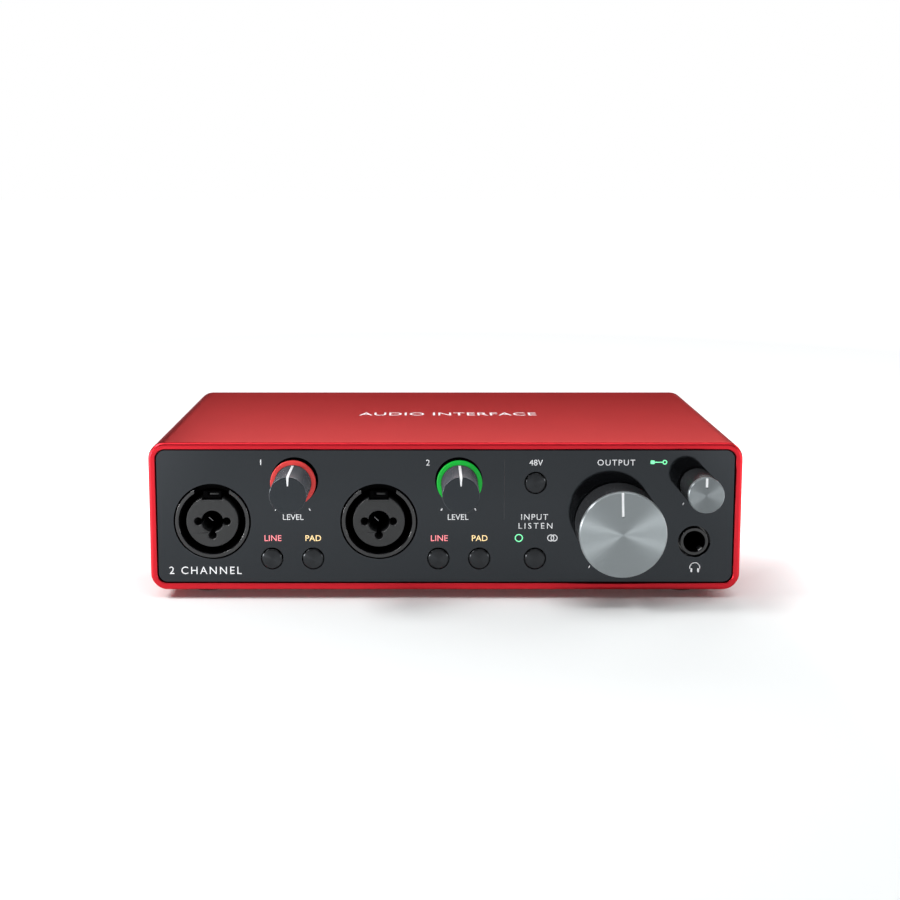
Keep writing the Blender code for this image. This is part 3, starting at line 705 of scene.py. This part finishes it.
def build_feet():
    for end in ("front", "rear"):
        for side in ("left", "right"):
            node = f"foot_{end}_{side}"
            low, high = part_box(node)
            height, radius = high.z - low.z, (high.x - low.x) / 2
            profile = rounded(
                [(0, 0), (radius - 0.6 * MM, 0), (radius, height * 0.35), (radius, height),
                 (0, height)], [0, 0.5 * MM, 0.8 * MM, 0.1 * MM, 0])
            profile[1:1] = [(radius * 0.45, 0), (radius * 0.5, 0.3 * MM), (radius * 0.7, 0.3 * MM),
                            (radius * 0.75, 0)]
            mesh = lathe(profile, ORIGIN, 64)
            mesh.transform(Matrix.Translation(((low.x + high.x) / 2, (low.y + high.y) / 2, low.z))
                           @ Matrix.Rotation(-math.pi / 2, 4, "X"))
            piece(node + "_pad", mesh, "rubber", replaces=[node])


def build_rear_screws():
    """Domed screws, each with a six-lobed recess."""
    head_r, head, shank_r = 2.7 * MM, -1.0 * MM, 1.5 * MM
    turns = [2 * math.pi * i / 48 for i in range(48)]
    for number in range(1, 5):
        node = f"rear_screw_{number}"
        low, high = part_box(node)
        tip = low.y - high.y
        profile = rounded([(0, 0), (2.1 * MM, 0), (head_r, -0.5 * MM), (head_r, head),
                           (shank_r, head), (shank_r, tip), (0, tip)],
                          [0, 0.6 * MM, 0.15 * MM, 0.05 * MM, 0, 0.1 * MM, 0])
        mesh = lathe(profile, ORIGIN, 48)
        place = facing_back(mesh, node)
        lobes = [polar(place.x, place.z, (1.05 + 0.18 * math.cos(6 * a)) * MM, a) for a in turns]
        tool = bmesh.new()
        tool.from_mesh(plate([lobes], place.y - 0.7 * MM, 2 * MM))
        piece(node + "_star", cut(mesh, tool), "steel", replaces=[node])


# ---- sockets ----
def build_combo(number):
    """One input socket: flanged housing, core with its clover hole, and key block."""
    node = f"combo_housing_{number}"
    place = middle(node)
    place.y = FACE
    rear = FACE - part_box(node)[1].y
    lip, step, floor = 0.15 * MM, -0.25 * MM, rear + 2.0 * MM
    body_r, lip_r, tube_r = radius_of(node), COMBO_BORE_R + 0.2 * MM, COMBO_BORE_R + 0.4 * MM
    well_r, well_top = tube_r - 0.03 * MM, -0.3 * MM
    ring = rounded(
        [(tube_r, BEHIND_PANEL), (tube_r, step), (lip_r, step), (lip_r, lip),
         (COMBO_FLANGE_R, lip), (COMBO_FLANGE_R, BEHIND_PANEL), (tube_r, BEHIND_PANEL)],
        [0, 0, 0.05 * MM, 0.16 * MM, 0.12 * MM, 0, 0])[:-1]
    well = rounded(
        [(0, floor), (COMBO_BORE_R, floor), (COMBO_BORE_R, well_top), (well_r, well_top),
         (well_r, BEHIND_PANEL), (body_r, BEHIND_PANEL), (body_r, rear), (0, rear)],
        [0, 0.3 * MM, 0.05 * MM, 0.05 * MM, 0, 0.3 * MM, 0.5 * MM, 0])

    def notch(depth):
        """The gap in the rim that the key block fills."""
        return block_bm((place.x - KEY_NOTCH_HALF, FACE - 2 * MM, place.z + COMBO_BORE_R - 2 * MM),
                        (place.x + KEY_NOTCH_HALF, FACE + depth, place.z + body_r + 1 * MM))

    mesh = cut(lathe(ring, place, 120, True), notch(3 * MM))
    piece(node + "_ring", mesh, "gloss", replaces=[node])
    # painted shade: the socket's well is coloured near-lightless black
    mesh = cut(lathe(well, place, 120), notch(2.2 * MM))
    piece(node + "_well", mesh, "recess_shade")

    node = f"combo_core_{number}"
    low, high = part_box(node)
    half, count = 3.0 * MM, 110
    meeting = math.asin(half / CORE_R)
    rim = [(place.x + CORE_R * math.sin(a), place.z + CORE_R * math.cos(a))
           for a in (meeting + (2 * math.pi - 2 * meeting) * i / count for i in range(count + 1))]
    rim += [(place.x - half, place.z + KEY_FLAT_Z), (place.x + half, place.z + KEY_FLAT_Z)]
    outlines = [rim, socket_outline(place.x, place.z)]
    mesh = plate(outlines, low.y, high.y - low.y, 0.32 * MM)
    piece(node + "_face", mesh, "core", replaces=[node])

    node = f"combo_key_{number}"
    low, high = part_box(node)
    mesh = to_mesh(block_bm(low, high, 0.25 * MM))
    groove = block_bm((place.x - 1.4 * MM, low.y - 1 * MM, low.z + 0.9 * MM),
                      (place.x + 1.9 * MM, low.y + 0.5 * MM, high.z - 0.2 * MM))
    # painted shade: the key block in its recess is coloured near-lightless black
    piece(node + "_block", cut(mesh, groove), "recess_shade", replaces=[node])
    latch = block_bm((place.x - 0.7 * MM, low.y + 0.2 * MM, place.z + 7.85 * MM),
                     (place.x + 1.9 * MM, low.y + 0.6 * MM, place.z + 8.4 * MM), 0.1 * MM)
    piece(f"combo_latch_{number}", to_mesh(latch), "core")
    mesh = contact((1.7 * MM, 0.5 * MM, 0.26 * MM), 0.06 * MM,
                   place + Vector((-0.83 * MM, 2.5 * MM, 0.13 * MM)), 43)
    piece(f"combo_contact_{number}", mesh, "nickel")


def build_phones_jack():
    """The headphone socket's barrel, bevelled in to its bore."""
    node = "phones_jack"
    place = middle(node)
    place.y = FACE
    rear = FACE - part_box(node)[1].y
    body_r, shoulder, liner_r = 5.0 * MM, -2.5 * MM, PHONES_BORE_R + 0.05 * MM
    bottom, well_r, well_end = rear + 1.5 * MM, liner_r - 0.03 * MM, rear + 0.2 * MM
    barrel = rounded(
        [(liner_r, rear), (liner_r, 0), (PHONES_BARREL_R, 0), (PHONES_BARREL_R, shoulder),
         (body_r, shoulder), (body_r, rear), (liner_r, rear)],
        [0, 0.04 * MM, 0.1 * MM, 0, 0.2 * MM, 0.3 * MM, 0])[:-1]
    well = rounded(
        [(0, bottom), (PHONES_BORE_R, bottom), (PHONES_BORE_R, -0.5 * MM), (well_r, -0.4 * MM),
         (well_r, well_end), (0, well_end)], [0, 0.2 * MM, 0.08 * MM, 0.03 * MM, 0, 0])
    piece("phones_jack_barrel", lathe(barrel, place, 96, True), "gloss", replaces=[node])
    # painted shade: the headphone socket's well is coloured near-lightless black
    piece("phones_jack_well", lathe(well, place, 96), "recess_shade")
    mesh = contact((1.4 * MM, 3 * MM, 0.32 * MM), 0.08 * MM,
                   place + Vector((1.85 * MM, 0.25 * MM, -2.35 * MM)), -38)
    piece("phones_jack_contact", mesh, "steel")


def build_line_outs():
    for side in ("left", "right"):
        node = f"line_out_jack_{side}"
        low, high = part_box(node)
        body_r, shoulder, end = 6.4 * MM, -4.2 * MM, low.y - high.y
        bottom = end + 1.5 * MM
        profile = rounded(
            [(0, bottom), (JACK_BORE_R, bottom), (JACK_BORE_R, -0.6 * MM),
             (JACK_BORE_R + 0.5 * MM, 0), (LINE_OUT_BARREL_R, 0), (LINE_OUT_BARREL_R, shoulder),
             (body_r, shoulder), (body_r, end), (0, end)],
            [0, 0.2 * MM, 0.2 * MM, 0.15 * MM, 0.3 * MM, 0, 0.3 * MM, 0.3 * MM, 0])
        mesh = lathe(profile, ORIGIN, 96)
        facing_back(mesh, node)
        piece(node + "_barrel", mesh, "black", replaces=[node])


def build_usb():
    low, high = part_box("usb_port")
    place = middle("usb_port")
    half_width, half_height = (high.x - low.x) / 2, (high.z - low.z) / 2
    wall, back_wall = 0.3 * MM, 0.4 * MM
    outlines = [rounded_rectangle(place.x, place.z, half_width - inset, half_height - inset,
                                  half_height * 0.98 - inset) for inset in (0, wall)]
    shell = plate(outlines, low.y, high.y - low.y, 0.06 * MM)
    back = plate(outlines[:1], low.y - back_wall, back_wall)
    piece("usb_port_shell", joined([shell, back]), "steel", replaces=["usb_port"])
    low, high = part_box("usb_tongue")
    mesh = to_mesh(block_bm(low, high, 0.15 * MM))
    piece("usb_tongue_tab", mesh, "black", replaces=["usb_tongue"])


# ---- knobs ----
def build_gain(number, ring_look):
    """A level knob with its inlaid pointer, and the light ring and collar round it."""
    body = f"gain_knob_group_{number}"
    node = f"gain_knob_{number}"
    low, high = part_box(node)
    place = middle(node)
    place.y = FACE
    reach, back, radius = FACE - low.y, FACE - high.y, radius_of(node)
    skirt = reach - 8 * MM
    profile = rounded(
        [(0, reach), (radius, reach), (radius, back), (SHAFT_BORE_R, back),
         (SHAFT_BORE_R, skirt), (0, skirt)], [0, 0.3 * MM, 0.2 * MM, 0.1 * MM, 0, 0])
    mesh = lathe(profile, place, 96)
    halo = f"gain_halo_{number}"
    halo_low, halo_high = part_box(halo)
    start = halo_low.y - 0.2 * MM
    inlay, half, inner_end, taper = 0.45 * MM, POINTER_WIDTH / 2, radius * 0.5, 0.45

    def pointer_bm(spare):
        """The pointer's two arms: along the top of the side, then down the face."""
        rear, inner, front = start + spare, low.y + inlay + spare, low.y - spare
        under, end, outside = radius - inlay - spare, inner_end - spare, radius + spare
        wide, narrow = half + spare, taper * half + spare
        outline = [(rear, under, wide), (inner, under, wide), (inner, end, narrow),
                   (front, end, narrow), (front, outside, wide), (rear, outside, wide)]
        bm = bmesh.new()
        left, right = ([bm.verts.new((place.x + side * width, y, place.z + z))
                        for y, z, width in outline] for side in (-1, 1))
        for first in range(-1, len(outline) - 1):
            bm.faces.new((left[first], left[first + 1], right[first + 1], right[first]))
        bm.faces.new(left)
        bm.faces.new(right)
        bmesh.ops.recalc_face_normals(bm, faces=bm.faces)
        return bm

    made = [piece(node + "_body", cut(mesh, pointer_bm(0.03 * MM)), "knob", body, [node], place)]
    inlaid = pointer_bm(0.0)
    bmesh.ops.bevel(inlaid, geom=inlaid.edges[:], offset=0.04 * MM, segments=1, affect="EDGES")
    pointer = f"gain_pointer_{number}"
    made.append(piece(pointer + "_inlay", to_mesh(inlaid), "white", body, [pointer], place))
    for obj in made:
        obj.visible_glossy = False

    halo_radius, front, base = radius_of(halo), FACE - halo_low.y, FACE - halo_high.y
    profile = rounded(
        [(HALO_BORE_R, base), (HALO_BORE_R, front), (halo_radius, front), (halo_radius, base),
         (HALO_BORE_R, base)], [0, 0.15 * MM, 0.25 * MM, 0, 0])[:-1]
    mesh = lathe(profile, place, 120, True)
    ring = piece(halo + "_ring", mesh, ring_look, replaces=[halo])
    ring.visible_diffuse = ring.visible_glossy = False
    collar = f"gain_collar_{number}"
    top, flange = base - 0.05 * MM, radius_of(collar)
    end, tube_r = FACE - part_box(collar)[1].y, halo_radius - 0.15 * MM
    profile = rounded(
        [(COLLAR_BORE_R, end), (COLLAR_BORE_R, top), (tube_r, top), (tube_r, BEHIND_PANEL),
         (flange, BEHIND_PANEL), (flange, end), (COLLAR_BORE_R, end)],
        [0, 0, 0.05 * MM, 0, 0.1 * MM, 0.1 * MM, 0])[:-1]
    mesh = lathe(profile, place, 120, True)
    # painted shade: the collar is coloured near-lightless black so the crescent beside the light
    # ring reads as shade
    piece(collar + "_tube", mesh, "recess_shade", replaces=[collar])


def build_capped_knob(kind, sides, cap_look, edge, lean):
    """A knurled body and a spun cap with its milled, filled pointer line."""
    body = f"{kind}_knob_group"
    node, cap_node = f"{kind}_knob", f"{kind}_knob_cap"
    place = middle(cap_node)
    cap_low, cap_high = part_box(cap_node)
    place.y = FACE
    reach, cap_back = FACE - cap_low.y, FACE - cap_high.y
    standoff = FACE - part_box(node)[1].y
    radius = radius_of(cap_node)
    skirt, top = cap_back - 3.5 * MM, cap_back - 0.05 * MM
    grip, start = radius - 0.05 * MM, cap_back - 0.35 * MM
    rows = round((cap_back - standoff - 1.0 * MM) / (KNURL_PITCH / 2))
    knurled = start - standoff - 0.5 * MM
    profile = [(0, top), (grip - 0.35 * MM, top), (grip - 0.15 * MM, cap_back - 0.2 * MM)]
    profile += [(grip, start - knurled * row / rows, KNURL_DEPTH) for row in range(rows + 1)]
    profile += [(grip - 0.2 * MM, standoff + 0.25 * MM), (grip - 0.45 * MM, standoff),
                (SHAFT_BORE_R, standoff), (SHAFT_BORE_R, skirt), (0, skirt)]
    mesh = lathe(profile, place, sides, sharp=12)
    piece(node + "_grip", mesh, "knurl", body, [node], place)

    profile = rounded(
        [(0, reach), (radius - edge, reach), (radius, reach - edge), (radius, cap_back),
         (0, cap_back)], [0, 0.05 * MM, 0.08 * MM, 0.08 * MM, 0], 2)
    mesh = lathe(profile, place, 144, sharp=20)
    end, half, depth, sunk = radius * 0.4, POINTER_WIDTH / 2, 0.3 * MM, 0.12 * MM
    outline = [polar(0, end + half, half, math.pi + math.pi * i / 16) for i in range(17)]

    def leaning(points):
        """Points about the knob's axis, turned by the pointer's lean."""
        return [(place.x + x * math.cos(lean) - z * math.sin(lean),
                 place.z + x * math.sin(lean) + z * math.cos(lean)) for x, z in points]

    past = radius + 1 * MM
    slot = leaning(outline + [(half, past), (-half, past)])
    tool = bmesh.new()
    tool.from_mesh(plate([slot], place.y - reach - 1 * MM, depth + 1 * MM))
    piece(cap_node + "_disc", cut(mesh, tool, 20), cap_look, body, [cap_node], place)
    rim = radius - edge + 0.1 * MM
    fill = leaning([(x, max(z, end + 0.35 * MM)) for x, z in outline] + [(half, rim), (-half, rim)])
    mesh = plate([fill], place.y - reach + sunk, depth - sunk)
    piece(f"{kind}_pointer_fill", mesh, "white", body, origin=place)


def build_button(node):
    """A small spun push button with a slightly domed face."""
    low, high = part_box(node)
    place = middle(node)
    place.y = FACE
    proud, back = FACE - low.y, FACE - high.y
    flange, stem, flange_back = radius_of(node), 1.5 * MM, -3.1 * MM
    profile = rounded(
        [(0, proud), (BUTTON_R * 0.55, proud - 0.03 * MM), (BUTTON_R - 0.3 * MM, proud - 0.11 * MM),
         (BUTTON_R, proud - 0.25 * MM), (BUTTON_R, BEHIND_PANEL), (flange, BEHIND_PANEL),
         (flange, flange_back), (stem, flange_back), (stem, back), (0, back)],
        [0, 0, 0.1 * MM, 0.1 * MM, 0, 0.1 * MM, 0.1 * MM, 0, 0.2 * MM, 0], 3)
    mesh = lathe(profile, place, 72, sharp=25)
    piece(node + "_cap", mesh, "button", node + "_body", [node], place)


# ---- printing on the panel ----
def ticks(node, radius, aside):
    """The two end-of-travel marks round a knob, set aside a little towards -X."""
    place = middle(node)
    return [bar(place.x - aside + radius * math.sin(a), place.z + radius * math.cos(a),
                0.75 * MM, 0.24 * MM, a) for a in (KNOB_TRAVEL, -KNOB_TRAVEL)]


def build_print():
    """All the words and signs on the panel, one piece for each colour of ink."""
    gains = [middle(f"gain_knob_{n}") for n in (1, 2)]
    monitor, phones = middle("monitor_knob"), middle("phones_jack")
    buttons = {name: middle(name) for name in BUTTONS}
    label_z, legend_z = gains[0].z - 10.95 * MM, buttons["direct_button"].z + 6.2 * MM
    top_z = gains[0].z + 5.5 * MM
    white = [lettering("LEVEL", gain.x - 0.3 * MM, label_z, 5.6 * MM, 1.68 * MM) for gain in gains]
    marks = [bar(gains[0].x - 9.7 * MM, top_z + 0.1 * MM, 1.65 * MM, 0.3 * MM, 0)]
    phantom, direct = buttons["phantom_button"], buttons["direct_button"]
    white += [lettering(words, near.x + x * MM, z, width * MM, LETTER_HEIGHT)
              for words, near, x, z, width in (
                  ("2", gains[1], -9.25, top_z, 0),
                  ("OUTPUT", monitor, -0.3, top_z, 11.1),
                  ("48V", phantom, 0.1, top_z, 4.0),
                  ("INPUT", direct, -0.2, label_z, 7.9),
                  ("LISTEN", direct, 0.1, label_z - 2.65 * MM, 10.0))]
    for knob, radius, aside in (("gain_knob_1", 10.0, 0.45), ("gain_knob_2", 10.0, 0.2),
                                ("monitor_knob", 15.6, 0.0), ("phones_knob", 7.1, 0.0)):
        marks += ticks(knob, radius * MM, aside * MM)
    white.append(ink(marks))
    white += [ring_mark(direct.x + 5.15 * MM + side * 0.5 * MM, direct.z + 6.25 * MM, 1.05 * MM,
                        0.28 * MM, (1 + side * 0.1) * PRINT_THICKNESS) for side in (-1, 1)]
    white += headphone_icon(phones.x + 0.35 * MM, phones.z - 7.95 * MM)
    white.append(lettering("2 CHANNEL", -71.2 * MM, direct.z - 3.65 * MM, 21.5 * MM, 2.3 * MM))
    piece("print_white", joined(white), "white")
    red = [lettering("LINE", buttons[f"inst_button_{n}"].x + 0.3 * MM, legend_z, 5.0 * MM,
                     LETTER_HEIGHT) for n in (1, 2)]
    piece("print_red", joined(red), "red")
    amber = [lettering("PAD", buttons[f"pad_button_{n}"].x + 0.1 * MM, legend_z, 4.0 * MM,
                       LETTER_HEIGHT) for n in (1, 2)]
    piece("print_amber", joined(amber), "amber")
    green = [ring_mark(direct.x - 4.8 * MM, legend_z + 0.05 * MM, 1.2 * MM, 0.3 * MM)]
    green += link_icon(monitor.x + 12.1 * MM, top_z + 0.1 * MM)
    piece("print_green", joined(green), "green")
    divider = rounded_rectangle(17.4 * MM, direct.z + 20.8 * MM, 0.1 * MM, 9.0 * MM, 0.08 * MM, 3)
    piece("print_divider", ink([divider]), "grey")


def ring_mark(x, z, radius, width, thickness=PRINT_THICKNESS):
    outlines = [circle(x, z, radius, 40), circle(x, z, radius - width, 40)]
    return ink(outlines, thickness)


def headphone_icon(x, z):
    """A generic headphone sign: a band and two ear cups."""
    band = arc_band(x, z, 1.5 * MM, 0.24 * MM, math.radians(-105), math.radians(105))
    cups = [rounded_rectangle(x + side * 1.0 * MM, z - 0.8 * MM, 0.26 * MM, 0.6 * MM, 0.2 * MM, 4)
            for side in (-1, 1)]
    return [ink([outline]) for outline in [band] + cups]


def link_icon(x, z):
    """A generic connection sign: a plug, a lead and a ring."""
    lead = bar(x, z, 2.3 * MM, 0.28 * MM, math.pi / 2)
    plug = rounded_rectangle(x - 1.75 * MM, z, 0.6 * MM, 0.55 * MM, 0.2 * MM, 4)
    solids = [ink([outline]) for outline in (lead, plug)]
    return solids + [ring_mark(x + 1.85 * MM, z, 0.7 * MM, 0.3 * MM)]


def top_mark():
    """Plain descriptive lettering on the sleeve's top."""
    mesh = lettering("AUDIO INTERFACE", 0, 0, 58 * MM, 4.6 * MM)
    mesh.transform(Matrix.Translation((0, -FACE + PRINT_THICKNESS / 2, 0)))
    place = (1.5 * MM, 9.0 * MM, SLEEVE_HIGH.z - 0.6 * PRINT_THICKNESS)
    mesh.transform(Matrix.Translation(place) @ Matrix.Rotation(-math.pi / 2, 4, "X"))
    piece("print_top", mesh, "white")


def paint_frame():
    """Procedural looks for the CAD pieces that stay as they are."""
    kept = (("_board", "board"), ("_tray", "steel"), ("_pot", "steel"), ("_shaft", "steel"),
            ("_switch", "black"), ("_header", "black"))
    for name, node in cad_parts.items():
        for tag, look in kept:
            if tag in name:
                node.data.materials[0] = LOOKS[look]


# ---- stage ----
def arithmetic(look, operation, first, second=0.0):
    """A maths node; second is a number or another node's output."""
    made = look.node_tree.nodes.new("ShaderNodeMath")
    made.operation = operation
    look.node_tree.links.new(first, made.inputs[0])
    if isinstance(second, float):
        made.inputs[1].default_value = second
    else:
        look.node_tree.links.new(second, made.inputs[1])
    return made.outputs["Value"]


def far_glow(look):
    """Keep the floor white beside, behind and far from the object."""
    place = object_place(look)
    length = look.node_tree.nodes.new("ShaderNodeVectorMath")
    length.operation = "LENGTH"
    look.node_tree.links.new(place, length.inputs[0])
    fade = map_range(look, length.outputs["Value"], *FLOOR_FADE, smooth=True)
    split = split_xyz(look, place)
    aside = arithmetic(look, "SUBTRACT", arithmetic(look, "ABSOLUTE", split["X"]), FLOOR_SIDE)
    behind = arithmetic(look, "ADD", split["Y"], FLOOR_BACK)
    outside = arithmetic(look, "MAXIMUM", aside, behind)
    beyond = map_range(look, outside, *FLOOR_BEYOND, smooth=True)
    feed(look, "Emission Strength", arithmetic(look, "MAXIMUM", fade, beyond))


def build_stage():
    """A pale floor, and a room that is dimmer than the white backdrop the camera sees."""
    ground = bpy.data.meshes.new("floor")
    bm = bmesh.new()
    bmesh.ops.create_grid(bm, x_segments=1, y_segments=1, size=6.0)
    bm.to_mesh(ground)
    bm.free()
    floor = add_object("floor", ground)
    look = shader("floor_paper", (0.86, 0.88, 0.885), 0.9, Emission_Color=(1, 1, 1, 1))
    tone = noise(look, 3, 2.0)
    feed(look, "Base Color", ramp(look, tone, (0.85, 0.87, 0.87), (0.87, 0.89, 0.89)))
    far_glow(look)
    ground.materials.append(look)

    world = bpy.data.worlds.new("studio")
    bpy.context.scene.world = world
    world.use_nodes = True
    nodes, links = world.node_tree.nodes, world.node_tree.links
    room = nodes["Background"]
    room.inputs["Color"].default_value = (0.97, 0.985, 1.0, 1.0)
    backdrop = nodes.new("ShaderNodeBackground")
    backdrop.inputs["Color"].default_value = (1.0, 1.0, 1.0, 1.0)
    up = split_xyz(world, nodes.new("ShaderNodeTexCoord").outputs["Generated"])["Z"]
    strength = map_range(world, up, 0.45, 0.9, ROOM_WALL, ROOM_CEILING, smooth=True)
    links.new(strength, room.inputs["Strength"])
    seen = nodes.new("ShaderNodeLightPath")
    chosen = nodes.new("ShaderNodeMixShader")
    links.new(seen.outputs["Is Camera Ray"], chosen.inputs["Fac"])
    links.new(room.outputs["Background"], chosen.inputs[1])
    links.new(backdrop.outputs["Background"], chosen.inputs[2])
    links.new(chosen.outputs["Shader"], nodes["World Output"].inputs["Surface"])


def softbox(name, place, aim, size, power):
    """A rectangular area light at place, turned towards aim."""
    data = bpy.data.lights.new(name, "AREA")
    data.shape = "RECTANGLE"
    data.size, data.size_y = size
    data.energy = power
    light = add_object(name, data)
    light.location = place
    light.visible_camera = False
    light.rotation_euler = (Vector(aim) - Vector(place)).to_track_quat("-Z", "Y").to_euler()


def build_lights():
    softbox("back_top", (0.03, 0.13, 0.148), (0.02, -0.03, 0.047), (0.30, 0.06), 0.22)
    softbox("overhead", (0.04, -0.22, 0.45), (0.04, -0.12, 0), (0.70, 0.12), 1.05)
    softbox("key", (-0.80, -0.48, 0.05), (0, -0.02, 0.03), (0.45, 0.10), 5.3)
    softbox("fill", (0.75, -0.50, 0.05), (0, -0.02, 0.03), (0.35, 0.10), 1.6)
    softbox("side_right", (0.30, 0.06, 0.16), (0.12, -0.03, 0), (0.12, 0.12), 0.22)
    softbox("upper_left", (-0.32, -0.08, 0.30), (0, -0.04, 0.03), (0.12, 0.12), 1.25)


def build_camera():
    data = bpy.data.cameras.new("camera")
    data.lens = CAMERA_LENS
    data.shift_x, data.shift_y = CAMERA_SHIFT
    data.clip_start, data.clip_end = 0.01, 50
    camera = add_object("camera", data)
    corner = Vector((middle("case_sleeve").x, SLEEVE_LOW.y, SLEEVE_LOW.z))
    camera.location = corner + Vector(CAMERA_OFFSET)
    camera.rotation_euler = (math.pi / 2 - CAMERA_PITCH, 0, 0)
    bpy.context.scene.camera = camera


bpy.context.scene.view_settings.view_transform = "Standard"
build_camera()
build_stage()
build_lights()
paint_frame()
build_sleeve()
build_front_panel()
build_rear_panel()
build_feet()
build_rear_screws()
for channel, halo in ((1, "red_ring"), (2, "green_ring")):
    build_combo(channel)
    build_gain(channel, halo)
build_capped_knob("monitor", 184, "cap", 0.32 * MM, POINTER_LEAN)
build_capped_knob("phones", 76, "small_cap", 0.25 * MM, 0.0)
for button in BUTTONS:
    build_button(button)
build_phones_jack()
build_line_outs()
build_usb()
build_print()
top_mark()
